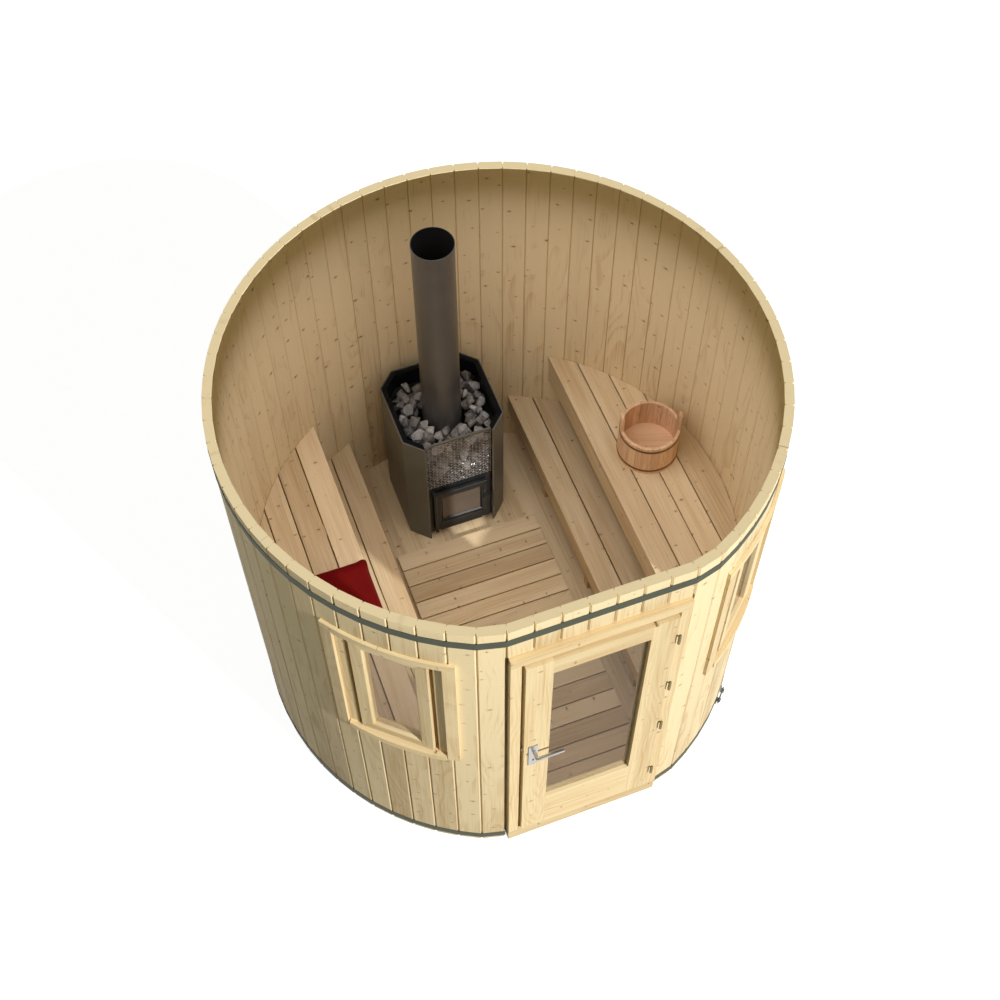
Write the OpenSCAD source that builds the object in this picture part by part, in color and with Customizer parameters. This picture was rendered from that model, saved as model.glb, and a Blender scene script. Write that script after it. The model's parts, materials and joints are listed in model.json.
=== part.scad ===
// Upright round barrel sauna, open at the top: a ring of staves with a flat door front,
// two steel hoops, two windows, a glazed door, two tiers of benches, a wood stove with its flue,
// a bucket and a seat pad.
// Frame: origin at the centre of the round plan at ground level, +X right, the door faces -Y, +Z up.

/* [Wall] */
// Outer radius of the round wall, measured at the stave joints
wall_r = 1226; // [1200:1:1500]
// Thickness of a stave
wall_t = 41; // [32:1:60]
// Height of the wall
wall_h = 2150; // [2120:5:2600]
// Distance of the flat front's corners inside the round wall
corner_in = 15; // [0:1:30]
// Number of staves on each side, from the flat front round to the back
side_staves = 30; // [24:3:36]

/* [Hoops] */
// Width of a steel hoop
hoop_w = 47; // [30:1:60]
// Thickness of a steel hoop
hoop_t = 2; // [1.5:0.5:4]
// Height of the lower edge of the bottom hoop
hoop_low_z = 22; // [10:1:60]
// Distance from the wall's top to the upper edge of the top hoop
hoop_top_drop = 58; // [30:1:100]
// Angle of the hoop's tensioner, from the front towards the right
tensioner_ang = 47; // [35:1:120]

/* [Door] */
// Width of the door leaf
leaf_w = 660; // [550:5:800]
// Height of the door leaf
leaf_h = 1733; // [1440:1:1880]
// Height of the door leaf's lower edge
leaf_z = 144; // [120:1:200]
// Thickness of the door leaf
leaf_t = 45; // [36:1:60]
// Distance that the leaf stands proud of the door frame
leaf_proud = 17; // [5:1:25]
// Gap between the leaf and the door frame
leaf_gap = 9; // [5:1:12]
// Width of a door stile
stile_w = 120; // [80:1:150]
// Height of the top rail
top_rail_h = 109; // [80:1:150]
// Height of the bottom rail
bottom_rail_h = 316; // [150:1:400]
// Thickness of the door glass
door_glass_t = 8; // [6:1:10]
// Distance of the glass behind the face of the door
door_glass_back = 18; // [10:1:25]
// Width of the face of a door jamb
jamb_w = 47; // [40:1:80]
// Height of the face of the door head
head_h = 56; // [40:1:80]
// Distance that the door frame stands proud of the wall
frame_proud = 25; // [15:1:40]
// Shadow gap between the door frame and the staves
frame_gap = 7; // [4:1:12]
// Height of the sill board below the door frame
sill_h = 100; // [80:1:120]

/* [Door fittings] */
// Width of a lock plate
plate_w = 44; // [36:1:52]
// Height of a lock plate
plate_h = 196; // [160:1:230]
// Thickness of a lock plate
plate_t = 6; // [3:1:8]
// Height of the lever's axis
lever_z = 1075; // [950:5:1150]
// Distance of the lever's arm from the face of the door
lever_reach = 50; // [40:1:60]
// Length of the lever's arm
lever_l = 118; // [90:1:140]
// Radius of the lever's spindle
spindle_r = 8; // [6:1:9]
// Radius of a hinge barrel
hinge_r = 8.5; // [7:0.5:10]
// Length of a hinge barrel
hinge_l = 96; // [80:1:120]
// Radius of a hinge pin
hinge_pin_r = 4; // [3:0.5:5]
// Height of the lowest hinge above the leaf's lower edge
hinge_low = 200; // [120:5:260]
// Distance of the highest hinge below the leaf's top edge
hinge_top = 173; // [120:1:260]

/* [Windows] */
// Angle of each window's middle, from the front
window_ang = 41.75; // [40:0.25:60]
// Width of the casement
casement_w = 340; // [280:2:420]
// Height of the casement
casement_h = 836; // [600:2:900]
// Height of the casement's lower edge
casement_z = 1020; // [900:2:1150]
// Thickness of the casement
casement_t = 45; // [36:1:55]
// Width of a casement stile
casement_stile = 58; // [45:1:70]
// Height of the casement's top rail
casement_top = 76; // [50:1:90]
// Height of the casement's bottom rail
casement_bottom = 46; // [36:1:90]
// Shadow gap beside the casement
casement_gap = 20; // [8:1:24]
// Gap above and below the casement
casement_slot = 6; // [4:1:10]
// Width of the face of the window lining
lining_w = 44; // [36:1:60]
// Width of the trim beside the window
window_trim_w = 52; // [40:1:70]
// Height of the trim above and below the window
window_trim_h = 40; // [30:1:60]
// Thickness of the window trim
window_trim_t = 15; // [10:1:22]
// Thickness of the window glass
window_glass_t = 6; // [4:1:10]

/* [Floor] */
// Height of the joists
joist_h = 22; // [18:1:60]
// Width of a joist
joist_w = 70; // [45:1:100]
// Distance between the middles of the joists
joist_pitch = 400; // [300:10:500]
// Thickness of the floor boards
floor_t = 28; // [20:1:35]
// Half width of the duckboard
duck_half_w = 398; // [300:1:420]
// Gap between the duckboard and the stove
duck_gap = 62; // [40:1:120]
// Thickness of the duckboard's slats
duck_t = 20; // [16:1:28]
// Height of the duckboard's battens
duck_batten_h = 10; // [8:1:25]

/* [Benches] */
// Height of the top of the upper seats
upper_z = 800; // [700:5:950]
// Height of the top of the lower seats
lower_z = 410; // [350:5:500]
// Distance from the centre line to the front of an upper seat
upper_x = 650; // [600:1:700]
// Distance from the centre line to the front of a lower seat
lower_x = 460; // [440:1:520]
// Distance that a lower seat runs in under the upper one
lower_under = 66; // [40:1:120]
// Thickness of the seats
seat_t = 36; // [28:1:45]
// Radius of a seat's front edge
nose_r = 12; // [6:1:16]
// Thickness of the fascia boards
fascia_t = 20; // [16:1:28]
// Height of the upper fascia
upper_fascia_h = 147; // [100:1:180]
// Height of the lower fascia
lower_fascia_h = 104; // [80:1:140]
// Size of the square legs and the width of the bearers
leg_w = 45; // [35:1:60]
// Height of the bearers
bearer_h = 70; // [50:1:90]
// Distance of the outer bearers from the middle one
bearer_pitch = 620; // [450:5:700]

/* [Stove] */
// Width of the stove
stove_w = 546; // [440:2:660]
// Depth of the stove
stove_d = 540; // [480:2:660]
// Height of the stove
stove_h = 850; // [700:5:950]
// Gap between the stove and the wall behind it
stove_wall_gap = 75; // [40:1:150]
// Cut of the stove's corners
stove_cut = 88; // [60:1:110]
// Thickness of the sheet steel
sheet_t = 6; // [4:1:8]
// Width of the flat rim round the tray
rim_w = 26; // [18:1:40]
// Depth of the rim's inner skirt
rim_skirt = 110; // [60:5:140]
// Setback of the stove's front plate
front_back = 20; // [16:1:30]
// Height of the firebox above the floor
firebox_z = 40; // [30:1:80]
// Height of the firebox
firebox_h = 410; // [350:5:450]
// Gap between the firebox and the back of the casing
firebox_gap = 94; // [60:1:120]
// Width of the front plate beside the fire door
plate_side = 36; // [30:1:50]
// Height of the fire door
fire_door_h = 342; // [280:2:345]
// Height of the fire door above the floor
fire_door_z = 74; // [70:1:90]
// Thickness of the fire door
fire_door_t = 20; // [14:1:24]
// Gap between the fire door and the front plate
fire_door_gap = 5; // [5:1:8]
// Width of the fire door's frame beside its glass
fire_frame_w = 36; // [28:1:44]
// Height of the fire door's frame below its glass
fire_frame_low = 92; // [60:1:110]
// Height of the fire door's frame above its glass
fire_frame_top = 50; // [36:1:60]
// Radius of the fire door's hinge rod
rod_r = 5; // [4:0.5:6]
// Length of the fire door's handle
handle_l = 146; // [110:2:160]
// Height of the handle's top above the fire door's lower edge
handle_top = 243; // [220:1:270]

/* [Flue] */
// Outer radius of the flue pipe
flue_r = 102; // [70:1:110]
// Thickness of the flue pipe
flue_t = 3; // [2:0.5:5]
// Height of the top of the flue pipe
flue_top = 2080; // [1500:10:2500]

/* [Bucket and pad] */
// Radius of the bucket's base
bucket_r = 156; // [120:1:160]
// Radius of the bucket's rim
bucket_rim_r = 152; // [115:1:156]
// Height of the bucket
bucket_h = 205; // [160:5:240]
// Thickness of the bucket's staves
bucket_t = 15; // [12:1:20]
// Height that the bucket's ears stand above its rim
ear_h = 95; // [60:5:110]
// Width of the seat pad
pad_w = 400; // [300:5:410]
// Length of the seat pad
pad_l = 400; // [300:5:420]
// Thickness of the seat pad
pad_t = 52; // [30:1:70]

/* [Hidden] */
$fn = 96;

// Clearance of a running fit, as a difference of radii
run_gap = 0.06;
// Overshoot of a cut past the surface that it opens
cut = 1;
// Clearance that keeps a loose thing off its neighbours
loose_gap = 0.5;

// The door frame sets the width of the flat front
frame_half_w = leaf_w / 2 + leaf_gap + jamb_w;
opening_half_w = frame_half_w + frame_gap / 2;
flat_half_w = frame_half_w + frame_gap + 2;
// Distance from the centre to the outside of the flat front
front_y = sqrt(pow(wall_r - corner_in, 2) - pow(flat_half_w, 2));
corner_ang = atan(flat_half_w / front_y);
stave_step = (180 - corner_ang) / side_staves;
inner_r = wall_r - wall_t;
staves_per_part = side_staves / 3;

frame_face_y = -front_y - frame_proud;
leaf_face_y = frame_face_y - leaf_proud;
leaf_top_z = leaf_z + leaf_h;
opening_top_z = leaf_top_z + leaf_gap + head_h + frame_gap / 2;
floor_z = joist_h + floor_t;
joists_per_side = floor((inner_r - joist_w) / joist_pitch);

hinge_x = leaf_w / 2 + leaf_gap / 2;
hinge_y = leaf_face_y - hinge_r - 2.5;
lever_x = -leaf_w / 2 + stile_w * 0.38;
// The four hinges stand at these parts of the way from the lowest to the highest
hinge_heights = [for (part = [0, 0.382, 0.684, 1]) hinge_low + part * (leaf_h - hinge_low - hinge_top)];

// Plane of the casement's face, where its edges lie flush with the round wall
window_plane = sqrt(wall_r * wall_r - casement_w * casement_w / 4);
lining_half_w = casement_w / 2 + casement_gap + lining_w;
lining_low_z = casement_z - window_trim_h - 5;
lining_top_z = casement_z + casement_h + casement_slot + 13;
// The lining's front corners lie just inside the round wall
lining_plane = sqrt(wall_r * wall_r - lining_half_w * lining_half_w) - 1;
casement_back = window_plane - casement_t;
lining_back = casement_back - 18;
trim_in_ang = asin(lining_half_w / wall_r);
trim_out_ang = asin((lining_half_w + window_trim_w) / wall_r);
trim_top_z = casement_z + casement_h + 4 + window_trim_h;

lower_back_x = upper_x + lower_under;

stove_y = inner_r - stove_wall_gap - stove_d;
duck_back_y = stove_y - duck_gap;
front_z = floor_z + firebox_z;
plate_y = stove_y + front_back;
firebox_d = stove_d - front_back - sheet_t - firebox_gap;
firebox_top_z = front_z + firebox_h;
stove_top_z = floor_z + stove_h;
stove_mid_y = stove_y + stove_d / 2;
bay_half_w = stove_w / 2 - stove_cut - sheet_t;
door_low_z = floor_z + fire_door_z;
fire_door_half = bay_half_w - plate_side;
rod_x = -fire_door_half - 4;
rod_y = plate_y - fire_door_gap - fire_door_t - 1;
knuckle_r = rod_r + 3.5;
handle_x = fire_door_half + 34;

// The bucket stands in the middle of the seat's depth
bucket_y = 253;
bucket_x = (upper_x + sqrt(inner_r * inner_r - bucket_y * bucket_y)) / 2;
bucket_turn = -19;
pad_x = -upper_x - pad_w / 2 + 5;
pad_y = 118 - pad_l / 2;

wood = "#d9bd8d";
wood_in = "#c8a878";
steel = "#5b5f59";
dark = "#4a4540";
bright = "#b9b9b5";

// ---- Plan of the wall ----

// Moves a point of the plan outwards by e
function grown(p, e) = p * (1 + e / norm(p));

// Point of the plan at an angle from the front and a radius
function at_ang(a, r) = [r * sin(a), -r * cos(a)];

// Stave joint k on the right half, on the wall's outside and inside
function outer_pt(k, e = 0) =
    grown(k == 0 ? [flat_half_w, -front_y] : at_ang(corner_ang + k * stave_step, wall_r), e);
function inner_pt(k) =
    k == 0 ? [(front_y - wall_t) * tan(corner_ang), wall_t - front_y]
           : at_ang(corner_ang + k * stave_step, inner_r);

function mirrored(points) = [for (i = [len(points) - 1:-1:0]) [-points[i].x, points[i].y]];
function outer_outline(e = 0) =
    let (right = [for (k = [0:side_staves]) outer_pt(k, e)])
        concat(right, mirrored([for (k = [0:side_staves - 1]) right[k]]));
function inner_outline() =
    let (right = [for (k = [0:side_staves]) inner_pt(k)])
        concat(right, mirrored([for (k = [0:side_staves - 1]) right[k]]));

module left_side() mirror([1, 0, 0]) children();

// Box from its lowest to its highest corner
module block(low, high) translate(low) cube(high - low);

// Frame of a window: its middle at x = 0, outwards along -Y
module at_window() rotate([0, 0, window_ang]) children();

// Clear way through the flat front for the door frame
module door_way()
    block([-opening_half_w, -front_y - wall_t, -cut], [opening_half_w, -front_y + 2 * wall_t, opening_top_z]);

module wall_part(first) {
    last = first + staves_per_part;
    difference() {
        linear_extrude(wall_h)
            polygon(concat([for (k = [first:last]) outer_pt(k)],
                           [for (k = [last:-1:first]) inner_pt(k)]));
        if (first == 0) {
            at_window() window_hole();
            door_way();
        }
    }
}

module window_hole()
    block([-lining_half_w, -wall_r - cut, lining_low_z], [lining_half_w, -inner_r * 0.9, lining_top_z]);

module wall_front_right() color(wood) wall_part(0);
module wall_side_right() color(wood) wall_part(staves_per_part);
module wall_rear_right() color(wood) wall_part(2 * staves_per_part);
module wall_front_left() left_side() wall_front_right();
module wall_side_left() left_side() wall_side_right();
module wall_rear_left() left_side() wall_rear_right();

module wall_over_door()
    color(wood)
        translate([0, 0, opening_top_z])
            linear_extrude(wall_h - opening_top_z)
                polygon([outer_pt(0), inner_pt(0), mirrored([inner_pt(0)])[0], mirrored([outer_pt(0)])[0]]);

// ---- Hoops ----

module hoop_band(z)
    translate([0, 0, z])
        linear_extrude(hoop_w)
            difference() {
                polygon(outer_outline(hoop_t));
                polygon(outer_outline());
            }

module top_hoop() color(steel) hoop_band(wall_h - hoop_top_drop - hoop_w);

module bottom_hoop()
    color(steel)
        difference() {
            hoop_band(hoop_low_z);
            block([-flat_half_w, -wall_r, 0], [flat_half_w, -front_y / 2, hoop_low_z + hoop_w + cut]);
        }

// Two folded lugs and the bolt that draws the bottom hoop tight
module hoop_tensioner() {
    lug_r = wall_r + hoop_t;
    color(bright)
        rotate([0, 0, tensioner_ang])
            translate([0, -lug_r, hoop_low_z + hoop_w / 2]) {
                for (side = [-1, 1])
                    translate([side * 28, 0, 0])
                        block([-3, -22, -hoop_w / 2 + 4], [3, 0, hoop_w / 2 - 4]);
                translate([-50, -12, 0])
                    rotate([0, 90, 0])
                        cylinder(r = 4, h = 100);
            }
}

// ---- Floor ----

module inside(z, h) translate([0, 0, z]) linear_extrude(h) polygon(inner_outline());

module floor_joists()
    color(wood_in)
        intersection() {
            inside(0, joist_h);
            for (k = [-joists_per_side:joists_per_side])
                block([-wall_r, k * joist_pitch - joist_w / 2, 0],
                      [wall_r, k * joist_pitch + joist_w / 2, joist_h]);
        }

module floor() color(wood_in) inside(joist_h, floor_t);

module duckboard() {
    front = -front_y + wall_t + 10;
    color(wood)
        translate([0, 0, floor_z]) {
            for (x = [-300, 0, 300])
                block([x - 25, front + 30, 0], [x + 25, duck_back_y - 30, duck_batten_h]);
            block([-duck_half_w, front, duck_batten_h], [duck_half_w, duck_back_y, duck_batten_h + duck_t]);
        }
}

// ---- Benches ----

module seat(front, back, top)
    intersection() {
        inside(top - seat_t, seat_t);
        union() {
            block([front + nose_r, -wall_r, top - seat_t], [back, wall_r, top]);
            block([front, -wall_r, top - seat_t], [front + nose_r, wall_r, top - nose_r]);
            translate([front + nose_r, wall_r, top - nose_r])
                rotate([90, 0, 0])
                    cylinder(r = nose_r, h = 2 * wall_r);
        }
    }

module fascia(front, top, h)
    intersection() {
        inside(top - h, h);
        block([front, -wall_r, top - h], [front + fascia_t, wall_r, top]);
    }

module upper_seat_right()
    color(wood_in) {
        seat(upper_x, wall_r, upper_z);
        fascia(upper_x + 5, upper_z - seat_t, upper_fascia_h);
    }

module lower_seat_right()
    color(wood_in) {
        seat(lower_x, lower_back_x, lower_z);
        fascia(lower_x + 5, lower_z - seat_t, lower_fascia_h);
    }

// A bearer under a seat with its leg down to the floor
module support(front, back, leg_x, seat_z, y) {
    top = seat_z - seat_t;
    intersection() {
        inside(floor_z, top - floor_z);
        union() {
            block([front, y - leg_w / 2, top - bearer_h], [back, y + leg_w / 2, top]);
            block([leg_x, y - leg_w / 2, floor_z], [leg_x + leg_w, y + leg_w / 2, top]);
        }
    }
}

module bench_supports_right()
    color(wood_in)
        for (y = [-bearer_pitch, 0, bearer_pitch]) {
            support(upper_x + 5 + fascia_t, wall_r, lower_back_x + 14, upper_z, y);
            support(lower_x + 5 + fascia_t, lower_back_x, lower_x + 40, lower_z, y);
        }

module upper_seat_left() left_side() upper_seat_right();
module lower_seat_left() left_side() lower_seat_right();
module bench_supports_left() left_side() bench_supports_right();

// ---- Door ----

module door_frame() {
    inner_half = leaf_w / 2 + leaf_gap;
    inner_low = leaf_z - leaf_gap;
    inner_top = leaf_top_z + leaf_gap;
    back = wall_t - front_y;
    stop_y = leaf_face_y + leaf_t + 5;
    color(wood)
        difference() {
            union() {
                // Face boards, proud of the wall
                block([-frame_half_w, frame_face_y, sill_h],
                      [frame_half_w, -front_y, inner_top + head_h]);
                // Lining, which fills the opening in the wall
                block([-opening_half_w, -front_y, sill_h], [opening_half_w, back, opening_top_z]);
            }
            block([-inner_half, frame_face_y - cut, inner_low], [inner_half, stop_y, inner_top]);
            // The stop behind the leaf leaves a narrower way
            block([-inner_half + 18, stop_y - cut, inner_low],
                  [inner_half - 18, back + cut, inner_top - 18]);
            for (h = hinge_heights)
                hinge_arm(leaf_z + h, -1, hinge_pin_r);
        }
}

module door_sill()
    color(wood)
        block([-frame_half_w, frame_face_y + 5, 0], [frame_half_w, wall_t - front_y, sill_h]);

// Screw arm of a hinge half: side 1 runs into the leaf, side -1 into the frame
module hinge_arm(z, side, r)
    translate([hinge_x, hinge_y, z + side * hinge_l / 4])
        rotate([0, 0, side > 0 ? 40 : -32])
            rotate([-90, 0, 0])
                cylinder(r = r, h = 62);

module hinge_half(z, side)
    translate([hinge_x, hinge_y, side > 0 ? z : z - hinge_l / 2])
        cylinder(r = hinge_r, h = hinge_l / 2 - (side > 0 ? 0 : loose_gap));

module door_hinges_fixed()
    color("#8a7a4c")
        for (h = hinge_heights) {
            hinge_half(leaf_z + h, -1);
            hinge_arm(leaf_z + h, -1, hinge_pin_r);
            translate([hinge_x, hinge_y, leaf_z + h - loose_gap])
                cylinder(r = hinge_pin_r, h = hinge_l / 2 - 6);
        }

module door_hinges_moving()
    color("#8a7a4c")
        for (h = hinge_heights)
            difference() {
                union() {
                    hinge_half(leaf_z + h, 1);
                    hinge_arm(leaf_z + h, 1, hinge_pin_r);
                }
                translate([hinge_x, hinge_y, leaf_z + h - cut])
                    cylinder(r = hinge_pin_r + run_gap, h = hinge_l / 2 - 4);
            }

module door_leaf() {
    half = leaf_w / 2;
    glass_low = leaf_z + bottom_rail_h;
    glass_top = leaf_top_z - top_rail_h;
    color(wood)
        difference() {
            block([-half, leaf_face_y, leaf_z], [half, leaf_face_y + leaf_t, leaf_top_z]);
            block([-half + stile_w, leaf_face_y - cut, glass_low],
                  [half - stile_w, leaf_face_y + leaf_t + cut, glass_top]);
            for (h = hinge_heights)
                hinge_arm(leaf_z + h, 1, hinge_pin_r);
            translate([lever_x, leaf_face_y - cut, lever_z])
                rotate([-90, 0, 0])
                    cylinder(r = spindle_r + 3, h = leaf_t + 2 * cut);
        }
}

module door_glass()
    color("#cfd6cf", 0.4)
        block([-leaf_w / 2 + stile_w, leaf_face_y + door_glass_back, leaf_z + bottom_rail_h],
              [leaf_w / 2 - stile_w, leaf_face_y + door_glass_back + door_glass_t,
               leaf_top_z - top_rail_h]);

// Plates on both faces of the door, bored for the spindle
module door_lock_plates()
    color(bright)
        for (y = [leaf_face_y - plate_t, leaf_face_y + leaf_t])
            difference() {
                block([lever_x - plate_w / 2, y, lever_z + 42 - plate_h],
                      [lever_x + plate_w / 2, y + plate_t, lever_z + 42]);
                translate([lever_x, y - cut, lever_z])
                    rotate([-90, 0, 0])
                        cylinder(r = spindle_r + run_gap, h = plate_t + 2 * cut);
            }

module door_lever() {
    out_y = leaf_face_y - lever_reach;
    in_y = leaf_face_y + leaf_t + lever_reach;
    color(bright) {
        translate([lever_x, out_y, lever_z])
            rotate([-90, 0, 0])
                cylinder(r = spindle_r, h = in_y - out_y);
        for (y = [out_y, in_y]) {
            translate([lever_x, y, lever_z]) {
                sphere(r = 11);
                rotate([0, 90, 0])
                    cylinder(r1 = 11, r2 = 9, h = lever_l);
            }
            translate([lever_x + lever_l, y, lever_z])
                sphere(r = 9);
        }
    }
}

// ---- Windows ----

module arc_band(r_in, r_out, low_ang, high_ang, z, h)
    translate([0, 0, z])
        rotate([0, 0, low_ang - 90])
            rotate_extrude(angle = high_ang - low_ang, $fn = 360)
                translate([r_in, 0])
                    square([r_out - r_in, h]);

module window_trim_right() {
    face_r = wall_r + window_trim_t;
    sill_half = lining_half_w - 4;
    side_low = lining_low_z + 10;
    color(wood)
        at_window() {
            arc_band(wall_r, face_r, -trim_out_ang, trim_out_ang, trim_top_z - window_trim_h, window_trim_h);
            for (side = [-1, 1])
                arc_band(wall_r, face_r,
                         side > 0 ? trim_in_ang : -trim_out_ang,
                         side > 0 ? trim_out_ang : -trim_in_ang,
                         side_low, trim_top_z - window_trim_h - loose_gap - side_low);
            // Sill with a round front, set on the wall and against the lining
            translate([0, 0, lining_low_z])
                linear_extrude(casement_z - casement_slot - lining_low_z)
                    intersection() {
                        circle(r = face_r + 3);
                        translate([-sill_half, -2 * wall_r])
                            square([2 * sill_half, 2 * wall_r - lining_plane]);
                    }
        }
}

module window_lining_right() {
    way_half = casement_w / 2 + casement_gap;
    way_low = casement_z - casement_slot;
    way_top = casement_z + casement_h + casement_slot;
    stop = casement_gap + 14;
    color(wood)
        at_window()
            difference() {
                block([-lining_half_w, -lining_plane, lining_low_z],
                      [lining_half_w, -lining_back, lining_top_z]);
                block([-way_half, -lining_plane - cut, way_low], [way_half, -casement_back, way_top]);
                block([-way_half + stop, -casement_back - cut, way_low + 20],
                      [way_half - stop, -lining_back + cut, way_top - 20]);
            }
}

module window_casement_right() {
    half = casement_w / 2;
    color(wood)
        at_window()
            difference() {
                block([-half, -window_plane, casement_z], [half, -casement_back, casement_z + casement_h]);
                block([-half + casement_stile, -window_plane - cut, casement_z + casement_bottom],
                      [half - casement_stile, -casement_back + cut,
                       casement_z + casement_h - casement_top]);
            }
}

module window_glass_right() {
    half = casement_w / 2 - casement_stile;
    face = window_plane - casement_t / 2;
    color("#cfd6cf", 0.4)
        at_window()
            block([-half, -face, casement_z + casement_bottom],
                  [half, -face + window_glass_t, casement_z + casement_h - casement_top]);
}

module window_trim_left() left_side() window_trim_right();
module window_lining_left() left_side() window_lining_right();
module window_casement_left() left_side() window_casement_right();
module window_glass_left() left_side() window_glass_right();

// ---- Stove ----

// Plan of the stove, inset by e
function stove_plan(e) =
    let (x = stove_w / 2 - e, y0 = stove_y + e, y1 = stove_y + stove_d - e, c = stove_cut - e * 0.586)
        [[x - c, y0], [x, y0 + c], [x, y1 - c], [x - c, y1],
         [-x + c, y1], [-x, y1 - c], [-x, y0 + c], [-x + c, y0]];

module stove_casing()
    color(dark)
        difference() {
            translate([0, 0, floor_z])
                linear_extrude(stove_h)
                    difference() {
                        polygon(stove_plan(0));
                        polygon(stove_plan(sheet_t));
                    }
            block([-bay_half_w, stove_y - cut, 0], [bay_half_w, stove_y + stove_d / 4, stove_top_z + cut]);
        }

// Flat rim round the tray and the skirt that hangs from its inner edge
module stove_rim() {
    inset = sheet_t + rim_w;
    color("#2e3236")
        difference() {
            union() {
                translate([0, 0, stove_top_z - sheet_t])
                    linear_extrude(sheet_t)
                        difference() {
                            polygon(stove_plan(sheet_t));
                            polygon(stove_plan(inset));
                        }
                translate([0, 0, stove_top_z - rim_skirt])
                    linear_extrude(rim_skirt)
                        difference() {
                            polygon(stove_plan(inset - 4));
                            polygon(stove_plan(inset));
                        }
            }
            block([-bay_half_w, stove_y - cut, 0], [bay_half_w, stove_y + 80, stove_top_z + cut]);
        }
}

// Front plate and hollow firebox behind it, with the fire door's hinge rod
module stove_firebox() {
    half = bay_half_w - 8;
    way_half = fire_door_half - 22;
    color("#33363a") {
        difference() {
            union() {
                block([-bay_half_w, plate_y, front_z], [bay_half_w, plate_y + sheet_t, firebox_top_z]);
                block([-half, plate_y, front_z], [half, plate_y + firebox_d, firebox_top_z]);
            }
            block([-half + sheet_t, plate_y + sheet_t, front_z + sheet_t],
                  [half - sheet_t, plate_y + firebox_d - sheet_t, firebox_top_z - sheet_t]);
            block([-way_half, plate_y - cut, door_low_z + 26],
                  [way_half, plate_y + 2 * sheet_t, door_low_z + fire_door_h - 26]);
        }
        translate([rod_x, rod_y, door_low_z])
            cylinder(r = rod_r, h = fire_door_h);
        for (z = [door_low_z - 8, door_low_z + fire_door_h])
            block([rod_x - knuckle_r, rod_y - knuckle_r, z], [rod_x + knuckle_r, plate_y, z + 8]);
        // Legs under the firebox
        for (x = [-half, half - 30], y = [plate_y + 20, plate_y + firebox_d - 50])
            block([x, y, floor_z], [x + 30, y + 30, front_z]);
    }
}

module stove_grille()
    color("#8a8580")
        block([-bay_half_w, plate_y, firebox_top_z], [bay_half_w, plate_y + 4, stove_top_z - sheet_t]);

module stove_stones() {
    inset = sheet_t + rim_w + 2;
    color("#77726b")
        difference() {
            translate([0, 0, firebox_top_z])
                linear_extrude(stove_top_z - firebox_top_z - 30)
                    intersection() {
                        polygon(stove_plan(inset));
                        translate([-stove_w / 2, plate_y + 5])
                            square([stove_w, stove_d]);
                    }
            translate([0, stove_mid_y, firebox_top_z - cut])
                cylinder(r = flue_r + loose_gap, h = stove_h);
        }
}

module fire_door() {
    back_y = plate_y - fire_door_gap;
    half = fire_door_half;
    color("#3b4046")
        difference() {
            union() {
                block([-half, back_y - fire_door_t, door_low_z], [half, back_y, door_low_z + fire_door_h]);
                // Knuckle round the hinge rod
                translate([rod_x, rod_y, door_low_z + 2])
                    cylinder(r = knuckle_r, h = fire_door_h - 4);
                // Handle bar on its arm
                block([half - 20, back_y - fire_door_t - 14, door_low_z + handle_top - 50],
                      [handle_x, back_y - fire_door_t, door_low_z + handle_top - 34]);
                block([handle_x - 14, back_y - fire_door_t - 26, door_low_z + handle_top - handle_l],
                      [handle_x, back_y - fire_door_t - 10, door_low_z + handle_top]);
            }
            block([-half + fire_frame_w, back_y - fire_door_t - cut, door_low_z + fire_frame_low],
                  [half - fire_frame_w, back_y + cut, door_low_z + fire_door_h - fire_frame_top]);
            translate([rod_x, rod_y, door_low_z - cut])
                cylinder(r = rod_r + run_gap, h = fire_door_h + 2 * cut);
        }
}

module fire_door_glass()
    color("#8f8a80", 0.6)
        block([-fire_door_half + fire_frame_w, plate_y - fire_door_gap - 12, door_low_z + fire_frame_low],
              [fire_door_half - fire_frame_w, plate_y - fire_door_gap - 7,
               door_low_z + fire_door_h - fire_frame_top]);

module flue_pipe()
    color("#3c3a38")
        translate([0, stove_mid_y, firebox_top_z])
            difference() {
                cylinder(r = flue_r, h = flue_top - firebox_top_z);
                translate([0, 0, -cut])
                    cylinder(r = flue_r - flue_t, h = flue_top - firebox_top_z + 2 * cut);
            }

// ---- Bucket and pad ----

module bucket()
    color("#b3734c")
        translate([bucket_x, bucket_y, upper_z])
            rotate([0, 0, bucket_turn])
                difference() {
                    cylinder(r1 = bucket_r, r2 = bucket_rim_r, h = bucket_h + ear_h);
                    translate([0, 0, 30])
                        cylinder(r1 = bucket_r - bucket_t, r2 = bucket_rim_r - bucket_t, h = bucket_h + ear_h);
                    // Only two ears stand above the rim
                    for (side = [-1, 1])
                        block([-bucket_r, side > 0 ? 34 : -bucket_r, bucket_h],
                              [bucket_r, side > 0 ? bucket_r : -34, bucket_h + ear_h + cut]);
                }

module seat_pad()
    color("#8f1016")
        translate([pad_x, pad_y, upper_z + loose_gap])
            block([-pad_w / 2, -pad_l / 2, 0], [pad_w / 2, pad_l / 2, pad_t]);

wall_front_left();
wall_side_left();
wall_rear_left();
wall_front_right();
wall_side_right();
wall_rear_right();
wall_over_door();
top_hoop();
bottom_hoop();
hoop_tensioner();
floor_joists();
floor();
duckboard();
lower_seat_left();
upper_seat_left();
bench_supports_left();
lower_seat_right();
upper_seat_right();
bench_supports_right();
door_frame();
door_sill();
door_hinges_fixed();
door_leaf();
door_glass();
door_lock_plates();
door_hinges_moving();
door_lever();
window_trim_left();
window_lining_left();
window_casement_left();
window_glass_left();
window_trim_right();
window_lining_right();
window_casement_right();
window_glass_right();
stove_casing();
stove_rim();
stove_firebox();
stove_grille();
stove_stones();
fire_door();
fire_door_glass();
flue_pipe();
bucket();
seat_pad();
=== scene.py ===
"""Looks of the upright barrel sauna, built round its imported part, in metres."""

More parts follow.
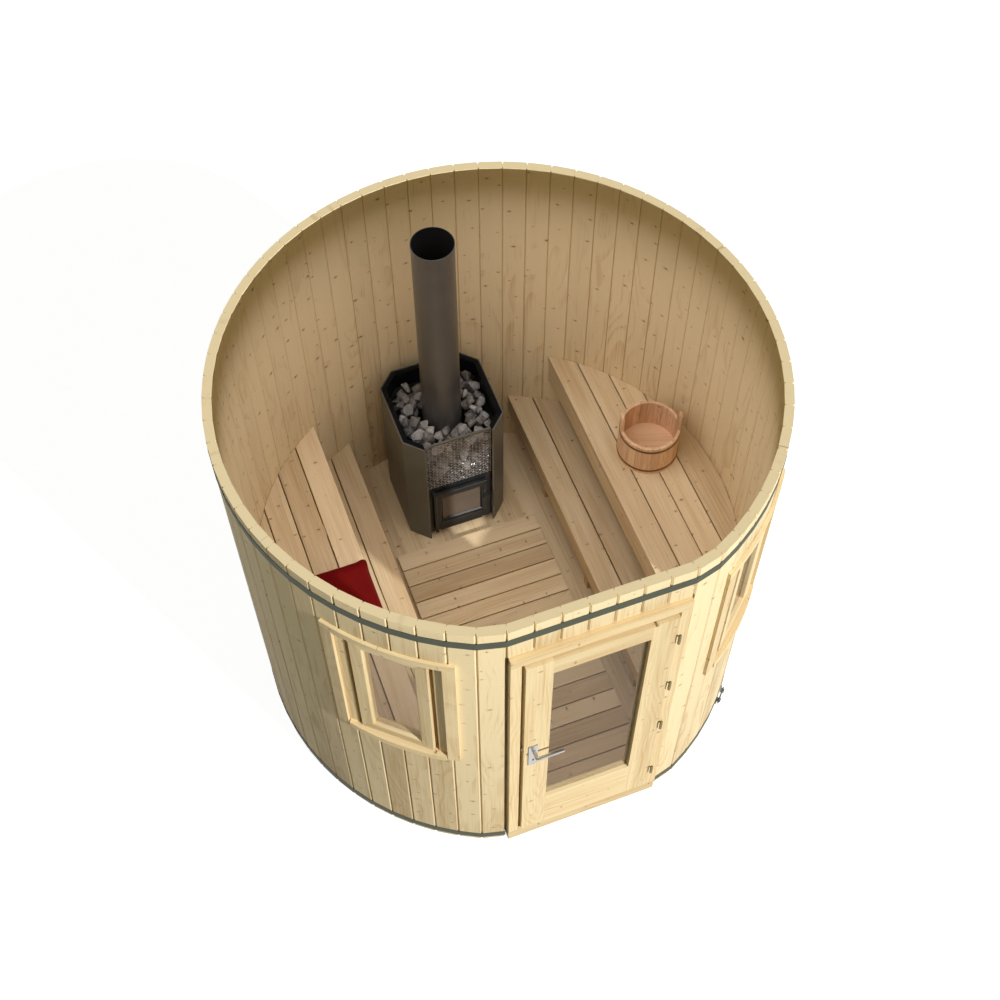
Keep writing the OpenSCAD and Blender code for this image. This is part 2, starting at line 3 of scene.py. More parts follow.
import json
import logging
import math
import random
from collections.abc import Callable, Iterable, Sequence
from dataclasses import dataclass, field
from enum import Enum

import bmesh
import bpy
import numpy as np
from mathutils import Matrix, Vector, noise


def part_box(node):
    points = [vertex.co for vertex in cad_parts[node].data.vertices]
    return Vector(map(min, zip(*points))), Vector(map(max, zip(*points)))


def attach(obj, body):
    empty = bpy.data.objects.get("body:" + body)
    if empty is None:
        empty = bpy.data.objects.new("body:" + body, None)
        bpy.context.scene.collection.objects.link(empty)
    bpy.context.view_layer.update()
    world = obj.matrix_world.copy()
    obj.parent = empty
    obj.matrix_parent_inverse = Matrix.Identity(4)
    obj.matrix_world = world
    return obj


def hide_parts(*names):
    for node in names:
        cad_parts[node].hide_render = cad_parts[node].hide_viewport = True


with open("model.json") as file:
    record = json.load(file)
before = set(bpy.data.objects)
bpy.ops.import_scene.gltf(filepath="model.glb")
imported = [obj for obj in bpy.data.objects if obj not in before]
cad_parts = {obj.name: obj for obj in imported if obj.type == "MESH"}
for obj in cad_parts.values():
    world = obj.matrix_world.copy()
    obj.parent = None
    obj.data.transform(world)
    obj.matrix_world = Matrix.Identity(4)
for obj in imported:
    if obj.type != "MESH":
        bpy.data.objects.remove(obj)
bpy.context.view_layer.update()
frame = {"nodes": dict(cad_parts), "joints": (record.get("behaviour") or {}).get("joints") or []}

log = logging.getLogger("sauna")

MM = 0.001
ACROSS, BACK, UPRIGHT, OUT = (1, 0, 0), (0, 1, 0), (0, 0, 1), (0, -1, 0)
Point = tuple[float, float]
Colour = tuple[float, float, float]


class Body(Enum):
    """The bodies that the pieces ride on."""

    CABIN = "cabin"
    DOOR = "door"
    LEVER = "lever"
    STOVE_DOOR = "stove_door"


class Side(Enum):
    """The two halves of the cabin, as seen from in front of the door."""

    LEFT = -1
    RIGHT = 1

    @property
    def word(self) -> str:
        """The side's name in a node's name."""
        return self.name.lower()


# ---- Node groups and materials ----


class Wiring:
    """Adds nodes to one node tree and joins them."""

    def __init__(self, tree: bpy.types.NodeTree) -> None:
        """Starts on an emptied tree.

        Args:
            tree: the material's or the group's tree.
        """
        self.tree = tree
        tree.nodes.clear()

    def add(self, kind: str, inputs: dict | None = None, **props: object) -> bpy.types.Node:
        """Adds a node.

        Args:
            kind: the node's type name.
            inputs: socket name or number to a value, a colour of three numbers or another
                node's output.
            props: the node's own properties.

        Returns:
            The node.
        """
        node = self.tree.nodes.new(kind)
        for name, value in props.items():
            setattr(node, name, value)
        for key, value in (inputs or {}).items():
            socket = node.inputs[key]
            if isinstance(value, bpy.types.NodeSocket):
                self.tree.links.new(value, socket)
            else:
                socket.default_value = (*value, 1.0) if socket.type == "RGBA" else value
        return node

    def sum(self, operation: str, *values: object, clamp: bool = False) -> bpy.types.NodeSocket:
        """A Math node's result, for an operation and its one to three values."""
        inputs = dict(enumerate(values))
        return self.add("ShaderNodeMath", inputs, operation=operation, use_clamp=clamp).outputs[0]

    def vector(self, operation: str, *values: object) -> bpy.types.NodeSocket:
        """A Vector Math node's vector, for an operation and its values."""
        inputs = dict(enumerate(values))
        if operation == "SCALE":
            inputs["Scale"] = inputs.pop(1)
        return self.add("ShaderNodeVectorMath", inputs, operation=operation).outputs[0]

    def ramp(self, value: object, low: float, high: float, start: object = 0.0,
             end: object = 1.0, smooth: bool = True) -> bpy.types.NodeSocket:
        """Maps a value from low..high to start..end, held at both ends.

        Args:
            value: the socket or number to map.
            low: the value that gives start.
            high: the value that gives end.
            start: the first result.
            end: the last result.
            smooth: eases in and out instead of running straight.

        Returns:
            The mapped value's socket.
        """
        inputs = {0: value, 1: low, 2: high, 3: start, 4: end}
        kind = "SMOOTHSTEP" if smooth else "LINEAR"
        return self.add("ShaderNodeMapRange", inputs, interpolation_type=kind).outputs[0]

    def mix(self, share: object, first: object, second: object) -> bpy.types.NodeSocket:
        """The colour between two others, of which share is the second's part."""
        inputs = {0: share, 6: first, 7: second}
        return self.add("ShaderNodeMix", inputs, data_type="RGBA").outputs[2]

    def noise(self, where: object, scale: float = 1.0, detail: float = 2.0,
              output: int = 0) -> bpy.types.NodeSocket:
        """Noise at a place: output 0 is its value and 1 its colour."""
        inputs = {"Vector": where, "Scale": scale, "Detail": detail}
        return self.add("ShaderNodeTexNoise", inputs).outputs[output]

    def stretch(self, where: object, x: float, y: float, z: float) -> bpy.types.NodeSocket:
        """A place with its three axes scaled."""
        return self.vector("MULTIPLY", where, (x, y, z))

    def parts(self, vector: object) -> bpy.types.NodeOutputs:
        """A vector's three parts."""
        return self.add("ShaderNodeSeparateXYZ", {0: vector}).outputs

    def sway(self, where: object) -> bpy.types.NodeSocket:
        """Noise as a vector about nought."""
        return self.vector("SUBTRACT", self.noise(where, output=1), (0.5, 0.5, 0.5))

    def about(self, value: object, factor: float, base: object) -> bpy.types.NodeSocket:
        """A base that a noise value moves up and down from its middle, by a factor."""
        return self.sum("MULTIPLY_ADD", self.sum("SUBTRACT", value, 0.5), factor, base)

    def place(self) -> bpy.types.NodeSocket:
        """The place on the piece, in its own axes."""
        return self.add("ShaderNodeTexCoord").outputs["Object"]

    def attribute(self, name: str, output: str = "Fac") -> bpy.types.NodeSocket:
        """One of the mesh's attributes."""
        return self.add("ShaderNodeAttribute", attribute_name=name).outputs[output]


class Effect:
    """A shader node group with named sockets, built once and used in many materials."""

    def __init__(self, name: str, inputs: dict[str, str], outputs: dict[str, str]) -> None:
        """Makes the group and its sockets.

        Args:
            name: the group's name.
            inputs: socket names with Vector, Float or Color.
            outputs: the same for what the group puts out.
        """
        self.group = bpy.data.node_groups.new(name, "ShaderNodeTree")
        for way, sockets in (("INPUT", inputs), ("OUTPUT", outputs)):
            for socket, kind in sockets.items():
                self.group.interface.new_socket(
                    name=socket, in_out=way, socket_type="NodeSocket" + kind)
        self.wiring = Wiring(self.group)
        self.given = self.wiring.add("NodeGroupInput").outputs

    def put_out(self, **results: bpy.types.NodeSocket) -> None:
        """Joins the results to the group's outputs, by name."""
        self.wiring.add("NodeGroupOutput", results)

    def place(self, wiring: Wiring, **inputs: object) -> bpy.types.NodeOutputs:
        """Puts the group into a material, with its inputs by name, and gives its outputs."""
        return wiring.add("ShaderNodeGroup", inputs, node_tree=self.group).outputs


class Timber(Effect):
    """Sawn spruce: year rings about a pith, fibres, knots that the rings run round.

    The big knots and the pins each have the size of a patch that holds one at most, and their
    least and greatest radius.
    """

    PITH = 55 * MM
    RING = 4.3 * MM
    BULGE = 16 * MM
    BIG = (88 * MM, 150 * MM), (2.6 * MM, 6.8 * MM)
    PINS = (40 * MM, 85 * MM), (1.1 * MM, 2.6 * MM)

    def __init__(self) -> None:
        """Builds the group."""
        super().__init__(
            "timber",
            {"Grain": "Vector", "Tone": "Float", "Early": "Color", "Late": "Color",
             "Knot": "Color", "Knots": "Float"},
            {"Color": "Color", "Roughness": "Float", "Height": "Float"})
        w, given = self.wiring, self.given
        place = given["Grain"]
        axes = w.parts(place)
        big, near = self.knots(axes, given["Knots"], *self.BIG)
        pins, _ = self.knots(axes, 0.42, *self.PINS)
        sway = w.parts(w.sway(w.stretch(place, 3, 3, 0.9)))
        across = w.sum("MULTIPLY_ADD", sway[0], 0.07, axes[0])
        deep = w.sum("ADD", w.sum("MULTIPLY_ADD", sway[1], 0.06, axes[1]), self.PITH)
        radius = w.sum("SQRT", w.sum("ADD", w.sum("MULTIPLY", across, across),
                                     w.sum("MULTIPLY", deep, deep)))
        radius = w.sum("MULTIPLY_ADD", near, self.BULGE, radius)
        ring = w.sum("FRACT", w.sum("DIVIDE", radius, self.RING))
        late = w.sum("MULTIPLY", w.ramp(ring, 0.35, 0.92), w.ramp(ring, 0.93, 1.0, 1.0, 0.0))
        fibre = w.noise(w.stretch(place, 170, 170, 3.2), detail=3.0)
        patch = w.noise(w.stretch(place, 17, 17, 1.7))
        dark = w.sum("MULTIPLY", late, w.ramp(patch, 0.3, 0.7, 0.1, 0.46))
        dark = w.about(patch, 1.1, w.about(fibre, 1.5, dark))
        dark = w.sum("MULTIPLY_ADD", given["Tone"], 0.42, dark, clamp=True)
        colour = w.mix(dark, given["Early"], given["Late"])
        halo = w.sum("MULTIPLY", w.sum("POWER", near, 1.3), w.ramp(fibre, 0.3, 0.7, 0.2, 0.6))
        colour = w.mix(halo, colour, w.mix(0.45, given["Late"], given["Knot"]))
        spots = w.sum("MAXIMUM", w.sum("MULTIPLY", big, 0.86), w.sum("MULTIPLY", pins, 0.7))
        colour = w.mix(spots, colour, given["Knot"])
        lightness = w.ramp(given["Tone"], -1.0, 1.0, 1.24, 0.88, smooth=False)
        colour = w.vector("SCALE", colour, lightness)
        rough = w.sum("MULTIPLY_ADD", fibre, 0.22, w.sum("MULTIPLY_ADD", big, -0.12, 0.5))
        height = w.sum("MULTIPLY_ADD", late, 0.35, w.sum("MULTIPLY", fibre, 0.5))
        height = w.sum("MULTIPLY_ADD", spots, -0.5, height)
        self.put_out(Color=colour, Roughness=rough, Height=height)

    def knots(self, axes: bpy.types.NodeOutputs, share: object, cell: Point,
              sizes: Point) -> tuple[bpy.types.NodeSocket, bpy.types.NodeSocket]:
        """Knots strewn over a board's face.

        Args:
            axes: the place on the board, across, deep and along.
            share: the part of the patches that have one.
            cell: the patch of board that holds one knot at most, across and along.
            sizes: the least and the greatest radius of a knot.

        Returns:
            The knots' mask and a soft mask of what lies round them.
        """
        w = self.wiring
        there = w.add("ShaderNodeCombineXYZ", {0: w.sum("DIVIDE", axes[0], cell[0]),
                                               1: w.sum("DIVIDE", axes[2], cell[1])}).outputs[0]
        found = w.add("ShaderNodeTexVoronoi", {"Vector": there, "Scale": 1.0, "Randomness": 0.8},
                      voronoi_dimensions="2D").outputs
        away = w.vector("SUBTRACT", there, found["Position"])
        away = w.stretch(away, cell[0] * 0.75, cell[1] * 1.25, 0.0)
        wobble = w.sway(w.stretch(there, 9, 9, 1))
        away = w.vector("MULTIPLY_ADD", wobble, (sizes[1] * 0.45,) * 3, away)
        distance = w.add("ShaderNodeVectorMath", {0: away}, operation="LENGTH").outputs["Value"]
        luck = w.add("ShaderNodeSeparateColor", {0: found["Color"]}).outputs
        there_is = w.sum("MULTIPLY", w.sum("LESS_THAN", luck[0], share),
                         w.ramp(luck[2], 0.0, 1.0, 0.3, 1.0, smooth=False))
        size = w.ramp(luck[1], 0.0, 1.0, sizes[0], sizes[1], smooth=False)
        edge = w.sum("SUBTRACT", size, distance)
        mask = w.sum("MULTIPLY", w.ramp(edge, -0.0006, 0.0012), there_is)
        around = w.ramp(w.sum("DIVIDE", distance, size), 0.6, 3.4, 1.0, 0.0)
        return mask, w.sum("MULTIPLY", around, there_is)


class Weathered(Effect):
    """Sheet or cast metal: cloudy tone, fine scratches along it and dust on what faces up."""

    DUST = (0.30, 0.27, 0.23)

    def __init__(self) -> None:
        """Builds the group."""
        super().__init__(
            "weathered",
            {"Place": "Vector", "Base": "Color", "Worn": "Color", "Dust": "Float",
             "Gloss": "Float", "Grit": "Float"},
            {"Color": "Color", "Roughness": "Float", "Height": "Float"})
        w, given = self.wiring, self.given
        cloud = w.noise(given["Place"], 9.0, 3.0)
        scratch = w.noise(w.stretch(given["Place"], 300, 300, 9), detail=2.0)
        grit = w.noise(given["Place"], 620.0, 2.0)
        worn = w.sum("MULTIPLY", w.ramp(cloud, 0.45, 0.75), w.ramp(scratch, 0.5, 0.8))
        colour = w.mix(w.ramp(cloud, 0.3, 0.7, 0.0, 0.35), given["Base"], given["Worn"])
        colour = w.mix(w.sum("MULTIPLY", worn, 0.7), colour, given["Worn"])
        facing = w.parts(w.add("ShaderNodeNewGeometry").outputs["Normal"])[2]
        dust = w.sum("MULTIPLY", w.ramp(facing, 0.3, 0.95), w.ramp(cloud, 0.3, 0.65, 0.3, 1.0))
        dust = w.sum("MULTIPLY", dust, given["Dust"])
        colour = w.mix(dust, colour, self.DUST)
        rough = w.sum("MULTIPLY_ADD", dust, 0.3, w.about(cloud, 0.2, given["Gloss"]), clamp=True)
        height = w.sum("MULTIPLY", w.sum("ADD", grit, scratch), given["Grit"])
        self.put_out(Color=colour, Roughness=rough, Height=height)


class Weave(Effect):
    """Woven cloth, from a place on the cloth."""

    def __init__(self) -> None:
        """Builds the group."""
        super().__init__(
            "weave", {"Place": "Vector", "Thread": "Color", "Gap": "Color", "Pitch": "Float"},
            {"Color": "Color", "Roughness": "Float", "Height": "Float"})
        w, given = self.wiring, self.given
        turn = w.sum("DIVIDE", 2 * math.pi, given["Pitch"])
        waves = [w.sum("SINE", w.sum("MULTIPLY", axis, turn)) for axis in w.parts(given["Place"])]
        cloth = w.sum("ADD", w.sum("MULTIPLY", waves[0], waves[1]), w.sum("MULTIPLY", waves[2], 0.5))
        cloth = w.ramp(cloth, -1.0, 1.0, smooth=False)
        fluff = w.noise(given["Place"], 180.0, 3.0)
        fade = w.noise(given["Place"], 7.0, 2.0)
        share = w.sum("MULTIPLY_ADD", cloth, 0.4, w.sum("MULTIPLY", w.sum("ADD", fluff, fade), 0.3))
        self.put_out(Color=w.mix(share, given["Gap"], given["Thread"]),
                     Roughness=w.ramp(fluff, 0.2, 0.8, 0.75, 0.95),
                     Height=w.sum("ADD", cloth, w.sum("MULTIPLY", fluff, 0.6)))


class Smears(Effect):
    """Faint smears on glass."""

    def __init__(self) -> None:
        """Builds the group."""
        super().__init__("smears", {"Place": "Vector", "Least": "Float", "Most": "Float"},
                         {"Roughness": "Float"})
        w, given = self.wiring, self.given
        cloud = w.noise(w.stretch(given["Place"], 5, 5, 2), detail=4.0)
        self.put_out(Roughness=w.ramp(cloud, 0.45, 0.75, given["Least"], given["Most"],
                                      smooth=False))


@dataclass(frozen=True)
class Effects:
    """The shared effects."""

    timber: Timber = field(default_factory=Timber)
    weathered: Weathered = field(default_factory=Weathered)
    weave: Weave = field(default_factory=Weave)
    smears: Smears = field(default_factory=Smears)


def new_material(name: str) -> tuple[bpy.types.Material, Wiring]:
    """An empty node material and its wiring."""
    material = bpy.data.materials.new(name)
    material.use_nodes = True
    return material, Wiring(material.node_tree)


def surface(wiring: Wiring, colour: object, rough: object, height: object = None,
            strength: float = 0.2, depth: float = 0.001, **sockets: object) -> None:
    """Ends a material in a Principled shader.

    Args:
        wiring: the material's wiring.
        colour: the base colour, or its socket.
        rough: the roughness's socket.
        height: the bump's height, if it has one.
        strength: how strongly the bump shows.
        depth: the bump's depth in metres.
        sockets: the shader's other sockets, with _ for a blank.
    """
    inputs = {"Base Color": colour, "Roughness": rough}
    if height is not None:
        bump = wiring.add("ShaderNodeBump",
                          {"Strength": strength, "Distance": depth, "Height": height})
        inputs["Normal"] = bump.outputs[0]
    inputs.update({name.replace("_", " "): value for name, value in sockets.items()})
    shader = wiring.add("ShaderNodeBsdfPrincipled", inputs)
    wiring.add("ShaderNodeOutputMaterial", {"Surface": shader.outputs[0]})


@dataclass(frozen=True)
class TimberFinish:
    """A wood: its early and late growth, its knots and how rough it is left."""

    name: str
    early: Colour
    late: Colour
    knot: Colour = (0.20, 0.085, 0.03)
    knots: float = 0.68
    bump: float = 0.25
    from_place: bool = False

    def make(self, effects: Effects) -> bpy.types.Material:
        """The wood's material, on the boards' own grain or on the piece's own place."""
        material, w = new_material(self.name)
        if self.from_place:
            place, tone = w.place(), 0.5
        else:
            place, tone = w.attribute("grain", "Vector"), w.attribute("tone")
        wood = effects.timber.place(w, Grain=place, Tone=tone, Early=self.early, Late=self.late,
                                    Knot=self.knot, Knots=self.knots)
        surface(w, wood["Color"], wood["Roughness"], wood["Height"], self.bump,
                Specular_IOR_Level=0.3)
        return material


@dataclass(frozen=True)
class MetalFinish:
    """A metal or its paint."""

    name: str
    base: Colour
    worn: Colour
    metallic: float
    gloss: float
    dust: float = 0.0
    grit: float = 0.5
    bump: float = 0.12
    specular: float = 0.5

    def make(self, effects: Effects) -> bpy.types.Material:
        """The metal's material."""
        material, w = new_material(self.name)
        sheet = effects.weathered.place(w, Place=w.place(), Base=self.base, Worn=self.worn,
                                        Dust=self.dust, Gloss=self.gloss, Grit=self.grit)
        surface(w, sheet["Color"], sheet["Roughness"], sheet["Height"], self.bump, 0.0005,
                Metallic=self.metallic, Specular_IOR_Level=self.specular)
        return material


@dataclass(frozen=True)
class StoneFinish:
    """Broken grey rock, each stone in its own tone."""

    name: str = "heater_stones"
    dark: Colour = (0.095, 0.087, 0.077)
    light: Colour = (0.46, 0.435, 0.40)

    def make(self, effects: Effects) -> bpy.types.Material:
        """The stones' material."""
        material, w = new_material(self.name)
        place = w.place()
        coarse = w.noise(place, 45.0, 5.0)
        speck = w.noise(place, 420.0, 2.0)
        share = w.about(coarse, 1.3, w.sum("MULTIPLY_ADD", w.attribute("tone"), 0.75, 0.08))
        share = w.sum("ADD", share, w.sum("MULTIPLY", w.ramp(speck, 0.62, 0.72), 0.25), clamp=True)
        colour = w.mix(share, self.dark, self.light)
        surface(w, colour, w.ramp(coarse, 0.3, 0.7, 0.62, 0.92), w.sum("ADD", coarse, speck),
                0.5, 0.003)
        return material


@dataclass(frozen=True)
class ClothFinish:
    """Plain woven cloth."""

    name: str
    thread: Colour
    gap: Colour
    pitch: float

    def make(self, effects: Effects) -> bpy.types.Material:
        """The cloth's material."""
        material, w = new_material(self.name)
        cloth = effects.weave.place(w, Place=w.place(), Thread=self.thread, Gap=self.gap,
                                    Pitch=self.pitch)
        surface(w, cloth["Color"], cloth["Roughness"], cloth["Height"], 0.35, 0.0008,
                Sheen_Weight=0.05, Sheen_Roughness=0.5, Specular_IOR_Level=0.15)
        return material


@dataclass(frozen=True)
class GlassFinish:
    """Clear or smoked glass."""

    name: str
    tint: Colour
    alpha: float
    least: float = 0.01
    most: float = 0.06

    def make(self, effects: Effects) -> bpy.types.Material:
        """The glass's material."""
        material, w = new_material(self.name)
        smears = effects.smears.place(w, Place=w.place(), Least=self.least, Most=self.most)
        surface(w, self.tint, smears["Roughness"], IOR=1.35, Alpha=self.alpha)
        return material


FINISHES = (
    TimberFinish("spruce_wall", (0.80, 0.66, 0.415), (0.60, 0.415, 0.20)),
    TimberFinish("spruce_floor", (0.86, 0.69, 0.43), (0.62, 0.42, 0.21), knots=0.6),
    TimberFinish("spruce_bench", (0.83, 0.665, 0.42), (0.60, 0.41, 0.205), knots=0.55),
    TimberFinish("spruce_joinery", (0.86, 0.70, 0.425), (0.68, 0.475, 0.235), knots=0.5),
    TimberFinish("spruce_bearers", (0.66, 0.50, 0.30), (0.48, 0.31, 0.15), from_place=True),
    TimberFinish("stained_pine", (0.86, 0.58, 0.345), (0.60, 0.345, 0.175),
                 (0.12, 0.04, 0.02), 0.1, 0.3),
    MetalFinish("hoop_paint", (0.058, 0.068, 0.044), (0.10, 0.11, 0.08), 0.0, 0.6, specular=0.3),
    MetalFinish("bucket_band", (0.16, 0.075, 0.045), (0.24, 0.12, 0.075), 0.3, 0.5),
    MetalFinish("zinc", (0.20, 0.205, 0.195), (0.32, 0.32, 0.31), 0.85, 0.42),
    MetalFinish("old_brass", (0.20, 0.15, 0.045), (0.32, 0.25, 0.09), 0.45, 0.45),
    MetalFinish("satin_steel", (0.47, 0.465, 0.455), (0.62, 0.61, 0.60), 0.9, 0.3, grit=0.25),
    MetalFinish("stove_paint", (0.132, 0.138, 0.121), (0.168, 0.172, 0.155), 0.2, 0.42, 0.08),
    MetalFinish("rim_black", (0.004, 0.005, 0.006), (0.010, 0.012, 0.015), 0.0, 0.5, specular=0.12),
    MetalFinish("black_iron", (0.018, 0.021, 0.024), (0.045, 0.048, 0.052), 0.3, 0.36, 0.06),
    MetalFinish("grille_wire", (0.52, 0.50, 0.48), (0.74, 0.72, 0.70), 0.6, 0.34),
    MetalFinish("flue_steel", (0.14, 0.143, 0.142), (0.175, 0.178, 0.175), 0.6, 0.34),
    # Near-black: real soot inside the flue, and painted shade for the keyholes and the stove's holes.
    MetalFinish("soot_and_hole_shade", (0.016, 0.015, 0.014), (0.03, 0.028, 0.026), 0.3, 0.5),
    StoneFinish(),
    ClothFinish("red_cloth", (0.18, 0.0015, 0.0015), (0.08, 0.0005, 0.0005), 0.0022),
    GlassFinish("clear_glass", (0.02, 0.017, 0.012), 0.2),
    GlassFinish("smoked_glass", (0.16, 0.13, 0.105), 0.82, 0.02, 0.06),
)


# ---- Solids ----


def prism(outline: Sequence[Point], low: float, high: float) -> bmesh.types.BMesh:
    """Upright solid on a plan.

    Args:
        outline: the plan's corners, anticlockwise.
        low: height of the lower face.
        high: height of the upper face.

    Returns:
        The solid.
    """
    solid = bmesh.new()
    rings = [[solid.verts.new((x, y, z)) for x, y in outline] for z in (low, high)]
    solid.faces.new(rings[0][::-1])
    solid.faces.new(rings[1])
    for i in range(len(outline)):
        solid.faces.new((rings[0][i - 1], rings[0][i], rings[1][i], rings[1][i - 1]))
    return solid


def block(low: Sequence[float], high: Sequence[float]) -> bmesh.types.BMesh:
    """Box from its lowest to its highest corner."""
    return prism([(low[0], low[1]), (high[0], low[1]), (high[0], high[1]), (low[0], high[1])],
                 low[2], high[2])


def round_edges(solid: bmesh.types.BMesh, width: float, steps: int = 1,
                which: Callable[[bmesh.types.BMEdge], bool] = lambda edge: True) -> None:
    """Rounds a solid's sharp edges.

    Args:
        solid: the solid, which is changed.
        width: how far the rounding reaches from the edge.
        steps: the number of flats across it.
        which: says which of the sharp edges are rounded.
    """
    edges = [e for e in solid.edges if e.calc_face_angle(0.0) > 0.35 and which(e)]
    bmesh.ops.bevel(solid, geom=edges, offset=width, segments=steps, profile=0.5,
                    affect="EDGES", clamp_overlap=True)


def eased(low: Sequence[float], high: Sequence[float], width: float = 2 * MM,
          steps: int = 2) -> bmesh.types.BMesh:
    """Box from its lowest to its highest corner, with its edges rounded."""
    solid = block(low, high)
    round_edges(solid, width, steps)
    return solid


def at(x: float, y: float, z: float, turn: float = 0.0, axis: str = "Z") -> Matrix:
    """The place of something that is turned about an axis and then moved."""
    return Matrix.Translation((x, y, z)) @ Matrix.Rotation(turn, 4, axis)


def moved(solid: bmesh.types.BMesh, place: Matrix) -> bmesh.types.BMesh:
    """A solid, moved to its place."""
    solid.transform(place)
    return solid


def lathe(profile: Sequence[Point], sides: int) -> bmesh.types.BMesh:
    """Turned solid about Z.

    Args:
        profile: points of radius and height from the foot round to the top, closed on itself
            unless it starts and ends on the axis.
        sides: the number of flats round it.

    Returns:
        The solid.
    """
    solid = bmesh.new()
    rings = []
    for radius, z in profile:
        if radius < 1e-6:
            rings.append([solid.verts.new((0, 0, z))] * sides)
        else:
            turns = [2 * math.pi * k / sides for k in range(sides)]
            rings.append([solid.verts.new((radius * math.cos(a), radius * math.sin(a), z))
                          for a in turns])
    last = len(rings) if profile[0][0] > 1e-6 else len(rings) - 1
    for i in range(last):
        lower, upper = rings[i], rings[(i + 1) % len(rings)]
        for k in range(sides):
            corners = [lower[k - 1], lower[k], upper[k], upper[k - 1]]
            solid.faces.new(list(dict.fromkeys(corners)))
    bmesh.ops.recalc_face_normals(solid, faces=solid.faces)
    return solid


def disc(radius: float, sides: int, half: float = 0.4 * MM) -> bmesh.types.BMesh:
    """Thin disc about Z, for a hole whose shade is painted as a dark spot."""
    return lathe([(0, -half), (radius, -half), (radius, half), (0, half)], sides)


def sweep(path: Sequence[Vector], radii: Sequence[float], sides: int,
          flat: float = 1.0) -> bmesh.types.BMesh:
    """Round bar along a path.

    Args:
        path: the points of its centre line.
        radii: its radius at each point.
        sides: the number of flats round it.
        flat: its thickness as a share of its width.

    Returns:
        The bar.
    """
    solid = bmesh.new()
    rings = []
    side = None
    for i, point in enumerate(path):
        ahead = (path[min(i + 1, len(path) - 1)] - path[max(i - 1, 0)]).normalized()
        if side is None:
            side = ahead.cross(Vector(UPRIGHT if abs(ahead.z) < 0.9 else BACK)).normalized()
        side = (side - ahead * side.dot(ahead)).normalized()
        lift = side.cross(ahead)
        turns = [2 * math.pi * k / sides for k in range(sides)]
        rings.append([solid.verts.new(point + radii[i] * (side * math.cos(a)
                                                          + lift * math.sin(a) * flat))
                      for a in turns])
    for lower, upper in zip(rings, rings[1:]):
        for k in range(sides):
            solid.faces.new((lower[k - 1], lower[k], upper[k], upper[k - 1]))
    solid.faces.new(rings[0])
    solid.faces.new(rings[-1][::-1])
    bmesh.ops.recalc_face_normals(solid, faces=solid.faces)
    return solid


def set_down(name: str, data: bpy.types.ID) -> bpy.types.Object:
    """A new object in the scene, for a mesh, a lamp or a camera."""
    thing = bpy.data.objects.new(name, data)
    bpy.context.scene.collection.objects.link(thing)
    return thing


def cut(solid: bmesh.types.BMesh, tool: bmesh.types.BMesh) -> bmesh.types.BMesh:
    """A solid with a tool's shape cut out of it.

    Args:
        solid: what is cut.
        tool: what is taken away.

    Returns:
        The cut solid, and both given ones are freed.
    """
    pair = []
    for name, shape in (("cut_solid", solid), ("cut_tool", tool)):
        bmesh.ops.recalc_face_normals(shape, faces=shape.faces)
        mesh = bpy.data.meshes.new(name)
        shape.to_mesh(mesh)
        shape.free()
        pair.append(set_down(name, mesh))
    modifier = pair[0].modifiers.new("cut", "BOOLEAN")
    modifier.operation, modifier.solver, modifier.object = "DIFFERENCE", "EXACT", pair[1]
    evaluated = pair[0].evaluated_get(bpy.context.evaluated_depsgraph_get())
    result = bmesh.new()
    result.from_mesh(evaluated.to_mesh())
    for thing in pair:
        mesh = thing.data
        bpy.data.objects.remove(thing)
        bpy.data.meshes.remove(mesh)
    return result


GrainMap = Callable[[Vector], Vector]


def straight(along: Sequence[float], face: Sequence[float]) -> GrainMap:
    """Grain of a straight board.

    Args:
        along: the direction that its fibres run in.
        face: the direction that its wide face looks in.

    Returns:
        The map from a place in the board to across, deep and along.
    """
    deep, run = Vector(face), Vector(along)
    turn = Matrix((deep.cross(run), deep, run))
    return lambda place: turn @ place


def bent(place: Vector) -> Vector:
    """Grain of a board that is bent round the Z axis, with its fibres along the bend."""
    radius = math.hypot(place.x, place.y)
    return Vector((place.z, radius, radius * math.atan2(place.x, -place.y)))


